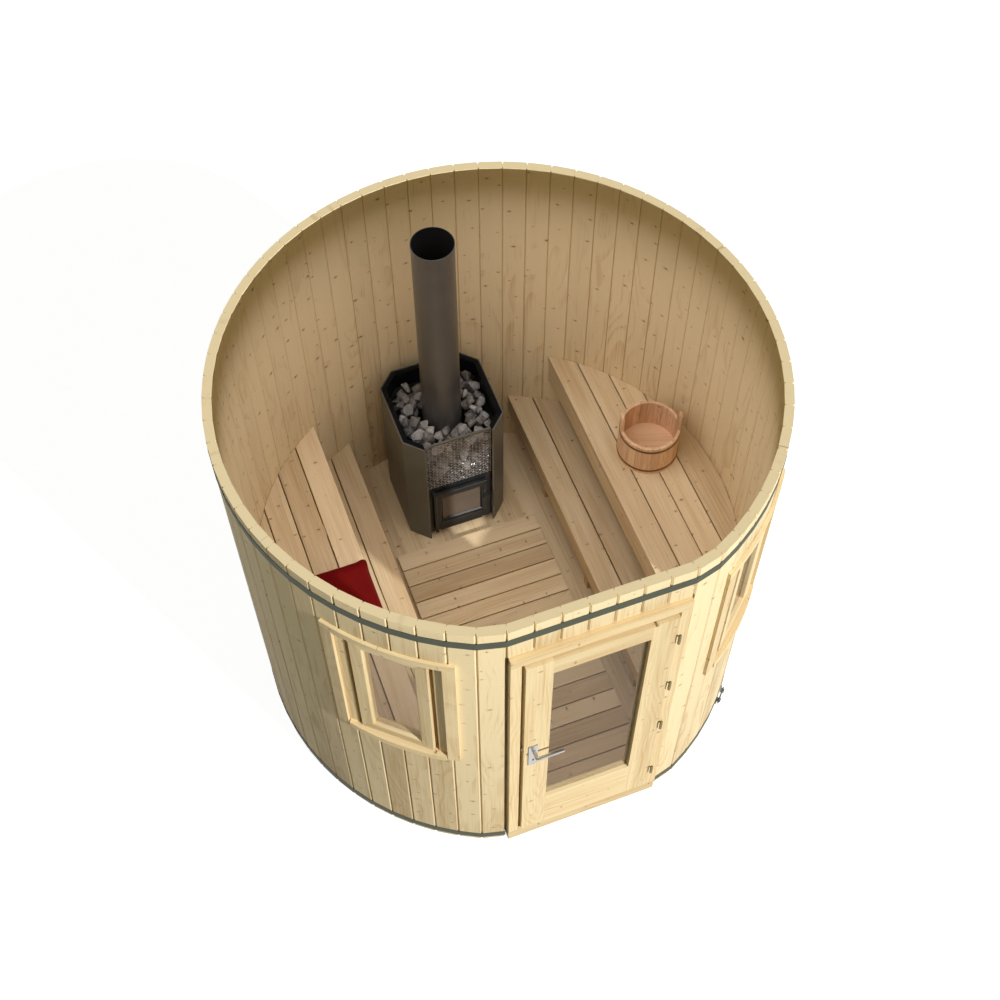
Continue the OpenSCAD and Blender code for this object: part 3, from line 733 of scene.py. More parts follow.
class Joinery:
    """Boards laid in one mesh, each with its own grain and tone."""

    SHARP = 0.38

    def __init__(self, name: str, seed: int) -> None:
        """Starts an empty mesh.

        Args:
            name: the piece's name.
            seed: the seed of the boards' differences.
        """
        self.name = name
        self.random = random.Random(seed)
        self.points: list[Vector] = []
        self.faces: list[list[int]] = []
        self.grain: list[Vector] = []
        self.tone: list[float] = []

    def lay(self, solid: bmesh.types.BMesh, grain: GrainMap,
            place: Matrix | None = None, tone: float | None = None,
            end: float | None = None) -> None:
        """Adds one board and frees its solid.

        Args:
            solid: the board, in its own place.
            grain: the map from that place to its grain.
            place: moves it to where it belongs.
            tone: 0 for the lightest wood to 1 for the darkest, or None for chance.
            end: height of a top end whose points are painted lighter, as painted light falling on that
                end from above.
        """
        shift = Vector([self.random.uniform(-20, 20) for _ in range(3)])
        shift.x, shift.y = shift.x * 0.002, self.random.uniform(0.0, 0.03)
        shade = self.random.random() if tone is None else tone
        start = len(self.points)
        solid.verts.index_update()
        for vertex in solid.verts:
            self.points.append(place @ vertex.co if place else vertex.co.copy())
            self.grain.append(grain(vertex.co) + shift)
            # Points at the top end get the lightest tone: painted light on the lit top.
            painted_lit_top = end is not None and vertex.co.z > end - 0.1 * MM
            self.tone.append(-0.9 if painted_lit_top else shade)
        self.faces += [[start + v.index for v in face.verts] for face in solid.faces]
        solid.free()

    def build(self) -> bpy.types.Object:
        """Makes the mesh object: grain and tone as attributes, smooth but for its sharp edges."""
        mesh = bpy.data.meshes.new(self.name)
        mesh.from_pydata(self.points, [], self.faces)
        grain = mesh.attributes.new("grain", "FLOAT_VECTOR", "POINT")
        grain.data.foreach_set("vector", np.array(self.grain, np.float32).ravel())
        tone = mesh.attributes.new("tone", "FLOAT", "POINT")
        tone.data.foreach_set("value", np.array(self.tone, np.float32))
        mesh.polygons.foreach_set("use_smooth", [True] * len(mesh.polygons))
        mesh.set_sharp_from_angle(angle=self.SHARP)
        return set_down(self.name, mesh)


def joined(name: str, solids: Iterable[bmesh.types.BMesh],
           place: Matrix | None = None) -> bpy.types.Object:
    """One object of several solids, which are freed."""
    parts = Joinery(name, 0)
    for solid in solids:
        parts.lay(solid, straight(UPRIGHT, BACK), place)
    return parts.build()


class Dresser:
    """Gives the pieces their finishes and bodies."""

    def __init__(self) -> None:
        """Makes every finish's material once."""
        effects = Effects()
        self.materials = {finish.name: finish.make(effects) for finish in FINISHES}

    def dress(self, piece: bpy.types.Object, finish: str, slot: str, *nodes: str,
              body: Body = Body.CABIN) -> bpy.types.Object:
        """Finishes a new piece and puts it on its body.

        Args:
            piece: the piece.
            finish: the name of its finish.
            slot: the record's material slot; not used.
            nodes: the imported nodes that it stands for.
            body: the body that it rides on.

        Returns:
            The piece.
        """
        self.coat(piece, finish)
        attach(piece, body.value)
        if nodes:
            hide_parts(*nodes)
        log.info("%s: %d faces, %s, on %s", piece.name, len(piece.data.polygons), finish,
                 body.value)
        return piece

    def keep(self, node: str, finish: str, edge: float = 0.0) -> None:
        """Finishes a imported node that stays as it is.

        Args:
            node: the node's name.
            finish: the name of its finish.
            edge: the rounding of its edges.
        """
        piece = frame["nodes"][node]
        self.coat(piece, finish)
        if edge:
            bevel = piece.modifiers.new("edges", "BEVEL")
            bevel.width, bevel.segments, bevel.limit_method = edge, 2, "ANGLE"
            bevel.angle_limit = 0.6
        log.info("%s: packed node, %s", node, finish)

    def coat(self, piece: bpy.types.Object, finish: str) -> None:
        """Gives a piece its finish."""
        piece.data.materials.clear()
        piece.data.materials.append(self.materials[finish])


# ---- The cabin ----


@dataclass(frozen=True)
class Plan:
    """The wall's plan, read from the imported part."""

    staves: int = 30
    corner_in: float = 15 * MM

    @property
    def flat_half(self) -> float:
        """Half the width of the flat front."""
        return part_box("wall_over_door")[1].x

    @property
    def front(self) -> float:
        """Distance of the flat front from the middle."""
        return -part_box("wall_over_door")[0].y

    @property
    def wall(self) -> float:
        """Thickness of the wall."""
        low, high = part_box("wall_over_door")
        return high.y - low.y

    @property
    def outer(self) -> float:
        """Outer radius."""
        return math.hypot(self.flat_half, self.front) + self.corner_in

    @property
    def inner(self) -> float:
        """Inner radius."""
        return self.outer - self.wall

    @property
    def corner(self) -> float:
        """Angle of the flat front's corner from the front."""
        return math.atan2(self.flat_half, self.front)

    @property
    def step(self) -> float:
        """Angle from one stave's joint to the next."""
        return (math.pi - self.corner) / self.staves

    def joint(self, k: int) -> tuple[Vector, Vector]:
        """Joint k on the right half: its outer and its inner point."""
        if k == 0:
            inside = self.front - self.wall
            return (Vector((self.flat_half, -self.front)),
                    Vector((inside * math.tan(self.corner), -inside)))
        angle = self.corner + k * self.step
        out = Vector((math.sin(angle), -math.cos(angle)))
        return out * self.outer, out * self.inner

    def strip(self, left: float, right: float, slack: float = 1 * MM) -> list[Point]:
        """Plan of a board that runs front to back across the whole inside.

        Args:
            left: x of its left edge.
            right: x of its right edge.
            slack: the gap that it keeps from the wall.

        Returns:
            The outline, anticlockwise.
        """
        radius = self.inner * math.cos(self.step / 2) - slack
        flat = self.wall + slack - self.front
        reach = [max(-radius, min(radius, left + (right - left) * k / 8)) for k in range(9)]
        ends = [(x, math.sqrt(max(0.0, radius * radius - x * x))) for x in reach]
        front = [(x, max(-y, flat)) for x, y in ends]
        back = [(x, y) for x, y in reversed(ends)]
        outline = [front[0]]
        for point in front[1:] + back:
            if math.dist(point, outline[-1]) > 0.5 * MM and math.dist(point, outline[0]) > 0.5 * MM:
                outline.append(point)
        return outline


PLAN = Plan()


def mirror(side: Side, points: Sequence[Point]) -> list[Point]:
    """An outline made for the right, for the given side, still anticlockwise."""
    if side is Side.RIGHT:
        return list(points)
    return [(-x, y) for x, y in reversed(points)]


@dataclass
class Wall:
    """Sixty round staves and seven flat ones above the door.

    A joint's groove and notch each give the slope's width and depth, and the half width and
    the depth of the slot below it.
    """

    groove: tuple[float, ...] = (7 * MM, 6 * MM, 1.6 * MM, 15 * MM)
    notch: tuple[float, ...] = (3.5 * MM, 4 * MM, 1 * MM, 9 * MM)
    end_round: float = 1.5 * MM
    slot_out: float = 4 * MM
    flat_staves: int = 7
    parts: tuple[str, ...] = ("front", "side", "rear")

    def stave(self, corners: Sequence[Vector], low: float, high: float) -> bmesh.types.BMesh:
        """One stave with a grooved joint outside and a fine one inside, and rounded ends.

        Args:
            corners: its outer left, outer right, inner right and inner left corner.
            low: height of its foot.
            high: height of its top.

        Returns:
            The stave.
        """
        outline = []
        for i in range(4):
            here, before, after = corners[i], corners[i - 1], corners[(i + 1) % 4]
            back, ahead = (before - here).normalized(), (after - here).normalized()
            across, deep = (back, ahead) if i % 2 else (ahead, back)
            groove = self.groove if i < 2 else self.notch
            steps = [across * groove[0], across * groove[2] + deep * groove[1],
                     across * groove[2] + deep * groove[3], deep * groove[3]]
            outline += [tuple(here + s) for s in (steps if i % 2 else steps[::-1])]

        def at_end(edge: bmesh.types.BMEdge) -> bool:
            """Says whether an edge lies round the stave's foot or top."""
            heights = [v.co.z for v in edge.verts]
            return max(heights) < low + MM or min(heights) > high - MM

        solid = prism(outline, low, high)
        round_edges(solid, self.end_round, which=at_end)
        return solid

    def build(self, dresser: Dresser) -> None:
        """Builds the wall's seven parts."""
        low, high = 0.0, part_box("wall_over_door")[1].z
        per_part = PLAN.staves // len(self.parts)
        for side in Side:
            tools = self.openings(side)
            for n, part in enumerate(self.parts):
                name = f"wall_{part}_{side.word}"
                boards = Joinery(f"staves_{part}_{side.word}", 11 + 7 * n + side.value)
                for k in range(n * per_part, (n + 1) * per_part):
                    self.lay(boards, side, k, low, high, tools)
                dresser.dress(boards.build(), "spruce_wall", "wall_wood", name)
        self.build_flat(dresser, high)

    def openings(self, side: Side) -> list[tuple[Vector, Vector, Matrix]]:
        """The window's and the door's ways through the wall: corner, corner and place."""
        window = Window(side)
        half, (low, high) = window.lining_half, window.lining_heights
        door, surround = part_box("wall_over_door")[0].z, DoorFrame()
        way = surround.opening_half
        slot_z, slot_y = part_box("door_frame")[1].z, surround.slot_depth - PLAN.front
        slot_x = PLAN.flat_half + self.slot_out
        here = Matrix.Identity(4)
        return [(Vector((-half, -1.4, low)), Vector((half, -0.9, high)), window.place),
                (Vector((-way, -1.4, -0.1)), Vector((way, -0.9, door)), here),
                (Vector((-slot_x, -1.4, -0.1)), Vector((slot_x, slot_y, slot_z)), here)]

    def lay(self, boards: Joinery, side: Side, k: int, low: float, high: float,
            tools: Sequence[tuple[Vector, Vector, Matrix]]) -> None:
        """Lays stave k, cut where a window or the door goes through it."""
        (out_a, in_a), (out_b, in_b) = PLAN.joint(k), PLAN.joint(k + 1)
        corners = [out_a, out_b, in_b, in_a]
        if side is Side.LEFT:
            corners = [Vector((-p.x, p.y)) for p in (out_b, out_a, in_a, in_b)]
        solid = self.stave(corners, low, high)
        for first, last, place in tools:
            near = [place.inverted() @ Vector((*p, 1.0)) for p in corners]
            if min(p.x for p in near) < last.x and max(p.x for p in near) > first.x \
                    and max(p.y for p in near) < 0:
                solid = cut(solid, moved(block(first, last), place))
        out = ((corners[0] + corners[1]) / 2).normalized()
        # end=high paints the stave tops lighter, as painted light on the rim.
        boards.lay(solid, straight(UPRIGHT, (out.x, out.y, 0)), end=high)

    def build_flat(self, dresser: Dresser, high: float) -> None:
        """Builds the flat front's short staves above the door."""
        boards = Joinery("staves_over_door", 31)
        (out, inside), low = PLAN.joint(0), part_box("wall_over_door")[0].z
        for k in range(self.flat_staves):
            shares = [2 * (k + e) / self.flat_staves - 1 for e in (0, 1)]
            corners = [Vector((edge.x * shares[e], edge.y))
                       for edge, e in ((out, 0), (out, 1), (inside, 1), (inside, 0))]
            # end=high paints these tops lighter too, as painted light on the rim.
            boards.lay(self.stave(corners, low, high), straight(UPRIGHT, OUT), end=high)
        dresser.dress(boards.build(), "spruce_wall", "wall_wood", "wall_over_door")


@dataclass
class Hoops:
    """Two painted hoops and the bolt that draws the lower one tight.

    A lug has a thickness and a reach, its foot a length and a thickness, and a nut a radius
    and a height.
    """

    angle: float = math.radians(47)
    spread: float = 28 * MM
    lug: tuple[float, ...] = (6 * MM, 21 * MM)
    foot: tuple[float, ...] = (22 * MM, 4 * MM)
    bolt: float = 4 * MM
    bolt_out: float = 12 * MM
    bolt_half: float = 49 * MM
    pitch: float = 2.5 * MM
    nut: tuple[float, ...] = (7.5 * MM, 8 * MM)

    def build(self, dresser: Dresser) -> None:
        """Dresses the hoops and builds the tensioner."""
        for node in ("top_hoop", "bottom_hoop"):
            dresser.keep(node, "hoop_paint", 0.4 * MM)
        low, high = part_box("bottom_hoop")
        half, middle = (high.z - low.z) / 2, (high.z + low.z) / 2
        thick, reach = self.lug
        length, plate = self.foot
        nut, tall = self.nut
        solids = []
        for sign in (-1, 1):
            x = sign * self.spread
            solids.append(eased((x - thick / 2, -reach, 4 * MM - half),
                                (x + thick / 2, 0, half - 4 * MM), 1.2 * MM))
            near, far = sorted((x, x + sign * length))
            solids.append(eased((near, -plate, 6 * MM - half), (far, -0.2 * MM, half - 6 * MM),
                                1 * MM, 1))
            profile = [(self.bolt, -tall / 2), (nut, 0.6 * MM - tall / 2),
                       (nut, tall / 2 - 0.6 * MM), (self.bolt, tall / 2)]
            solids.append(moved(lathe(profile, 6), at(x + sign * nut, -self.bolt_out, 0,
                                                      math.pi / 2, "Y")))
        solids.append(self.thread())
        place = Matrix.Rotation(self.angle, 4, "Z") @ at(0, -PLAN.outer - 2 * MM, middle)
        dresser.dress(joined("hoop_bolt", solids, place), "zinc", "zinc_steel", "hoop_tensioner")

    def thread(self) -> bmesh.types.BMesh:
        """The bolt, with a rolled thread."""
        core, half = self.bolt * 0.82, self.bolt_half
        profile = [(0.0, -half)]
        for k in range(int(2 * half / self.pitch)):
            z = k * self.pitch - half
            profile += [(core, z), (self.bolt, z + self.pitch / 2)]
        profile += [(core, half), (0.0, half)]
        return moved(lathe(profile, 12), at(0, -self.bolt_out, 0, math.pi / 2, "Y"))


@dataclass
class Floor:
    """Floor boards on joists, and a slatted duckboard.

    A batten has a half width, an inset at its ends and a height.
    """

    board: float = 115 * MM
    groove: float = 2.2 * MM
    slat: float = 103.6 * MM
    slat_gap: float = 7 * MM
    batten: tuple[float, ...] = (25 * MM, 30 * MM, 10 * MM)
    batten_x: tuple[float, ...] = (-300 * MM, 0.0, 300 * MM)

    def build(self, dresser: Dresser) -> None:
        """Builds the floor and the duckboard."""
        dresser.keep("floor_joists", "spruce_bearers")
        low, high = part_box("floor")
        boards = Joinery("floor_boards", 41)
        count = math.ceil(PLAN.inner / self.board)
        for k in range(-count, count):
            left = max(k * self.board, -PLAN.inner + 6 * MM)
            right = min((k + 1) * self.board, PLAN.inner - 6 * MM)
            solid = prism(PLAN.strip(left + 0.3 * MM, right - 0.3 * MM), low.z, high.z)
            round_edges(solid, self.groove)
            boards.lay(solid, straight(BACK, UPRIGHT))
        dresser.dress(boards.build(), "spruce_floor", "floor_wood", "floor")
        self.build_duckboard(dresser)

    def build_duckboard(self, dresser: Dresser) -> None:
        """Builds the duckboard's battens and slats."""
        low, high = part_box("duckboard")
        boards = Joinery("duckboard_slats", 43)
        half, inset, tall = self.batten
        step = low.z + tall
        for x in self.batten_x:
            batten = block((x - half, low.y + inset, low.z), (x + half, high.y - inset, step))
            boards.lay(batten, straight(BACK, UPRIGHT))
        back = high.y
        while back > low.y + 20 * MM:
            front = max(low.y, back - self.slat)
            slat = eased((low.x, front + self.slat_gap, step), (high.x, back, high.z), 2.5 * MM)
            boards.lay(slat, straight(ACROSS, UPRIGHT))
            back -= self.slat
        dresser.dress(boards.build(), "spruce_floor", "floor_wood", "duckboard")


@dataclass
class Bench:
    """One tier of seats on one side: planks along the wall and the fascia below."""

    node: str
    side: Side
    joints: tuple[float, ...]
    seed: int
    gap: float = 7 * MM
    nose: float = 12 * MM
    thick: float = 36 * MM
    fascia: Point = (5 * MM, 20 * MM)

    def build(self, dresser: Dresser) -> None:
        """Builds the tier."""
        node = f"{self.node}_{self.side.word}"
        low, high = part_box(node)
        ends = sorted((abs(low.x), abs(high.x)))
        edges = [ends[0], *self.joints, min(ends[1], PLAN.inner - 4 * MM)]
        boards = Joinery(f"{self.node}_planks_{self.side.word}", self.seed)
        for k, (left, right) in enumerate(zip(edges, edges[1:])):
            left += self.gap / 2 if k else 0.0
            right -= self.gap / 2 if k < len(edges) - 2 else 0.0
            plank = self.board(left, right, high.z - self.thick, high.z)
            if k == 0:
                front = self.side.value * left
                round_edges(plank, self.nose, 4, lambda e: all(
                    abs(v.co.x - front) < 1e-5 and v.co.z > high.z - 1e-5 for v in e.verts))
            round_edges(plank, 2 * MM, 2)
            boards.lay(plank, straight(BACK, UPRIGHT))
        back, thick = self.fascia
        front = self.board(ends[0] + back, ends[0] + back + thick, low.z, high.z - self.thick)
        round_edges(front, 2 * MM)
        boards.lay(front, straight(BACK, ACROSS))
        dresser.dress(boards.build(), "spruce_bench", "bench_wood", node)

    def board(self, left: float, right: float, low: float, high: float) -> bmesh.types.BMesh:
        """A board along the wall between two distances from the centre line."""
        return prism(mirror(self.side, PLAN.strip(left, right)), low, high)


@dataclass
class DoorFrame:
    """Face boards and lining round the door, and the sill board below."""

    gap: float = 9 * MM
    slot: float = 3.5 * MM
    slot_depth: float = 24 * MM
    stop: float = 18 * MM
    rest: float = 5 * MM
    ease: float = 1.5 * MM

    @property
    def frame_half(self) -> float:
        """Half the width of the face boards."""
        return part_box("door_sill")[1].x

    @property
    def opening_half(self) -> float:
        """Half the width of the way through the wall."""
        return self.frame_half + self.slot

    def build(self, dresser: Dresser) -> None:
        """Builds the frame and the sill board."""
        low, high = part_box("door_frame")
        leaf_low, leaf_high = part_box("door_leaf")
        jamb, head = leaf_high.x + self.gap, leaf_high.z + self.gap
        front, wall, back = low.y, -PLAN.front, high.y
        half, slot, stop = self.frame_half, wall + self.slot_depth, leaf_high.y + self.rest
        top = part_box("wall_over_door")[0].z
        boards = Joinery("door_surround", 51)
        for sign in (-1, 1):
            for near, far, face, rear, upper, looks in (
                    (jamb, half, front, wall, head, OUT), (jamb, half, wall, slot, head, OUT),
                    (jamb, self.opening_half, slot, back, top, ACROSS),
                    (jamb - self.stop, jamb, stop, back, head, OUT)):
                left, right = sorted((sign * near, sign * far))
                board = eased((left, face, low.z), (right, rear, upper), self.ease)
                boards.lay(board, straight(UPRIGHT, looks))
        for reach, face, rear, lower, upper, looks in (
                (half, front, wall, head, high.z, OUT), (jamb, wall, back, head, top, UPRIGHT),
                (jamb, stop, back, head - self.stop, head, OUT),
                (jamb, front, back, low.z, leaf_low.z - self.gap, UPRIGHT)):
            board = eased((-reach, face, lower), (reach, rear, upper), self.ease)
            boards.lay(board, straight(ACROSS, looks))
        dresser.dress(boards.build(), "spruce_joinery", "joinery_wood", "door_frame")
        sill = Joinery("door_sill_board", 52)
        sill.lay(eased(*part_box("door_sill"), self.ease), straight(ACROSS, OUT))
        dresser.dress(sill.build(), "spruce_joinery", "joinery_wood", "door_sill")


@dataclass
class Door:
    """The glazed leaf with its hinges, plates and lever.

    A hinge's barrel has a radius and a half length, and its arm a radius, a start and an end
    away from the pin, and a height from the barrel's middle.
    """

    stile: float = 120 * MM
    strip: float = 35 * MM
    top_rail: float = 109 * MM
    bottom_rail: float = 316 * MM
    bead: float = 11 * MM
    relief: float = 2.5 * MM
    ease: float = 1.6 * MM
    hinges: tuple[float, ...] = (344 * MM, 863.5 * MM, 1274 * MM, 1704 * MM)
    barrel: Point = (7 * MM, 38 * MM)
    arm: tuple[float, ...] = (3 * MM, 2 * MM, 20 * MM, 24 * MM)
    plate: float = 6 * MM
    keyhole: tuple[float, ...] = (55 * MM, 12 * MM, 2.5 * MM)
    grip: float = 9.2 * MM
    bend: float = 16 * MM

    def build(self, dresser: Dresser) -> None:
        """Builds the leaf and its fittings."""
        self.build_leaf(dresser)
        dresser.keep("door_glass", "clear_glass")
        self.build_hinges(dresser)
        self.build_plates(dresser)
        self.build_lever(dresser)

    def build_leaf(self, dresser: Dresser) -> None:
        """Builds the stiles, rails and glazing beads."""
        low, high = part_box("door_leaf")
        glass_low, glass_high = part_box("door_glass")
        boards = Joinery("door_boards", 61)
        outside, inside, bead = high.x - self.relief, high.x - self.stile, self.bead
        split, front, back = inside + self.strip, glass_high.y, glass_high.y + bead
        for sign in (-1, 1):
            for reach in ((outside, split), (split, inside)):
                left, right = sorted(sign * x for x in reach)
                board = eased((left, low.y, low.z), (right, high.y, high.z), self.ease)
                boards.lay(board, straight(UPRIGHT, OUT))
        for face, rear, lower, upper in (
                (low.y, high.y, high.z - self.top_rail, high.z),
                (low.y, high.y, low.z, low.z + self.bottom_rail),
                (front, back, glass_low.z, glass_low.z + bead),
                (front, back, glass_high.z - bead, glass_high.z)):
            board = eased((-inside, face, lower), (inside, rear, upper), self.ease)
            boards.lay(board, straight(ACROSS, OUT))
        for x in (-inside, inside - bead):
            board = eased((x, front, glass_low.z + bead), (x + bead, back, glass_high.z - bead),
                          self.ease)
            boards.lay(board, straight(UPRIGHT, OUT))
        dresser.dress(boards.build(), "spruce_joinery", "joinery_wood", "door_leaf", body=Body.DOOR)
        z = sum(corner.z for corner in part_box("door_lever")) / 2
        latch = eased((low.x - 4 * MM, low.y + 14 * MM, z - 11 * MM),
                      (low.x + 2 * MM, low.y + 26 * MM, z + 11 * MM), 1.5 * MM)
        dresser.dress(joined("door_latch", [latch]), "satin_steel", "lever_steel", body=Body.DOOR)

    def build_hinges(self, dresser: Dresser) -> None:
        """Builds the four barrels, each in a fixed and a moving half."""
        radius, half = self.barrel
        wire, start, end, up = self.arm
        x, y, _ = frame["joints"][0]["pos_m"]
        profile = [(0.0, 0.3 * MM), (radius - 0.6 * MM, 0.3 * MM), (radius, 1.0 * MM),
                   (radius, half - 6 * MM), (radius * 0.86, half - 2.4 * MM),
                   (radius * 0.5, half - 0.4 * MM), (0.0, half)]
        for name, node, sign, turn, body in (
                ("hinge_lower_halves", "door_hinges_fixed", -1, -32, Body.CABIN),
                ("hinge_upper_halves", "door_hinges_moving", 1, 40, Body.DOOR)):
            solids = []
            for z in self.hinges:
                barrel = lathe([(r, sign * h) for r, h in profile], 24)
                arm = sweep([Vector((0, out, sign * up)) for out in (start, end)], [wire] * 2, 12)
                solids += [moved(barrel, at(x, y, z)), moved(arm, at(x, y, z, math.radians(turn)))]
            dresser.dress(joined(name, solids), "old_brass", "hinge_brass", node, body=body)

    def build_plates(self, dresser: Dresser) -> None:
        """Builds the two lock plates with their screws and keyholes."""
        low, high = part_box("door_lock_plates")
        leaf_low, leaf_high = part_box("door_leaf")
        up, tall, half = self.keyhole
        x, keyhole = (low.x + high.x) / 2, low.z + up
        screws = ((low.z + 12 * MM, 4 * MM), (high.z - 12 * MM, 4 * MM), (high.z - 42 * MM, 15 * MM))
        solids, holes = [], []
        for face, out in ((leaf_low.y, -1), (leaf_high.y, 1)):
            top, spot = face + out * self.plate, face + out * (self.plate + 0.3 * MM)
            near, far = sorted((face, top))
            plate = block((low.x, near, low.z), (high.x, far, high.z))
            round_edges(plate, 5 * MM, 3, lambda e: abs(e.verts[0].co.y - e.verts[1].co.y) > MM)
            round_edges(plate, 1.2 * MM, 2)
            solids.append(plate)
            for z, radius in screws:
                head = lathe([(0, -MM), (radius, -MM), (radius, 0.5 * MM), (radius * 0.7, 1.3 * MM),
                              (0, 1.6 * MM)], 20)
                solids.append(moved(head, at(x, top, z, -out * math.pi / 2, "X")))
            # The keyholes are thin dark shapes on the plates: painted shade where the holes are.
            holes.append(block((x - half, spot - 0.4 * MM, keyhole - tall),
                               (x + half, spot + 0.4 * MM, keyhole)))
            holes.append(moved(disc(2 * half, 16), at(x, spot, keyhole, math.pi / 2, "X")))
        dresser.dress(joined("lock_plates", solids), "satin_steel", "lever_steel",
                      "door_lock_plates", body=Body.DOOR)
        dresser.dress(joined("keyholes", holes), "soot_and_hole_shade", "lever_steel", body=Body.DOOR)

    def build_lever(self, dresser: Dresser) -> None:
        """Builds the spindle and both handles, each bent round from its neck."""
        low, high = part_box("door_lever")
        x, _, z = frame["joints"][1]["pos_m"]
        length, bend, drop = high.x - x, self.bend, 3 * MM
        solids = []
        for y, turn in ((low.y + 11 * MM, 1), (high.y - 11 * MM, -1)):
            path = [Vector((0, turn * (40 - 12 * k) * MM, 0)) for k in range(4)]
            radii = [self.grip - 0.6 * MM] * 4
            for k in range(1, 6):
                a = math.pi / 2 * k / 5
                path.append(Vector((bend * (1 - math.cos(a)), turn * 4 * MM * (1 - math.sin(a)), 0)))
                radii.append(self.grip)
            for k in range(1, 9):
                share = k / 8
                path.append(Vector((bend + (length - bend - drop) * share, 0, -drop * share)))
                radii.append(self.grip - 1.6 * MM * share)
            path.append(Vector((length, 0, -drop)))
            radii.append(5 * MM)
            solids.append(moved(sweep(path, radii, 16, 0.8), at(x, y, z)))
        dresser.dress(joined("lever_handles", solids), "satin_steel", "lever_steel", "door_lever",
                      body=Body.LEVER)


def framed(outer: Sequence[float], inner: Sequence[float], front: float, back: float,
           chamfer: float) -> list[bmesh.types.BMesh]:
    """Four mitred boards round a pane, with their inner front edge cut to a slope.

    Args:
        outer: lowest x and z and highest x and z of the frame.
        inner: the same of its way.
        front: y of its face.
        back: y of its back.
        chamfer: width of the slope, seen from the front.

    Returns:
        The left, the lower, the right and the upper board.
    """
    def corners(box: Sequence[float], grow: float, y: float) -> list[Vector]:
        """A box's four corners, grown by a distance and set at a depth."""
        x0, z0, x1, z1 = box[0] - grow, box[1] - grow, box[2] + grow, box[3] + grow
        return [Vector((x, y, z)) for x, z in ((x0, z1), (x0, z0), (x1, z0), (x1, z1))]

    slope = math.copysign(chamfer, back - front)
    lines = [corners(outer, 0, front), corners(inner, chamfer, front),
             corners(inner, 0, front + slope), corners(inner, 0, back), corners(outer, 0, back)]
    boards = []
    for k in range(4):
        board = bmesh.new()
        ends = [[board.verts.new(line[(k + e) % 4]) for line in lines] for e in (0, 1)]
        board.faces.new(ends[0])
        board.faces.new(ends[1][::-1])
        for i in range(len(lines)):
            board.faces.new((ends[0][i - 1], ends[0][i], ends[1][i], ends[1][i - 1]))
        bmesh.ops.recalc_face_normals(board, faces=board.faces)
        round_edges(board, 1 * MM)
        boards.append(board)
    return boards


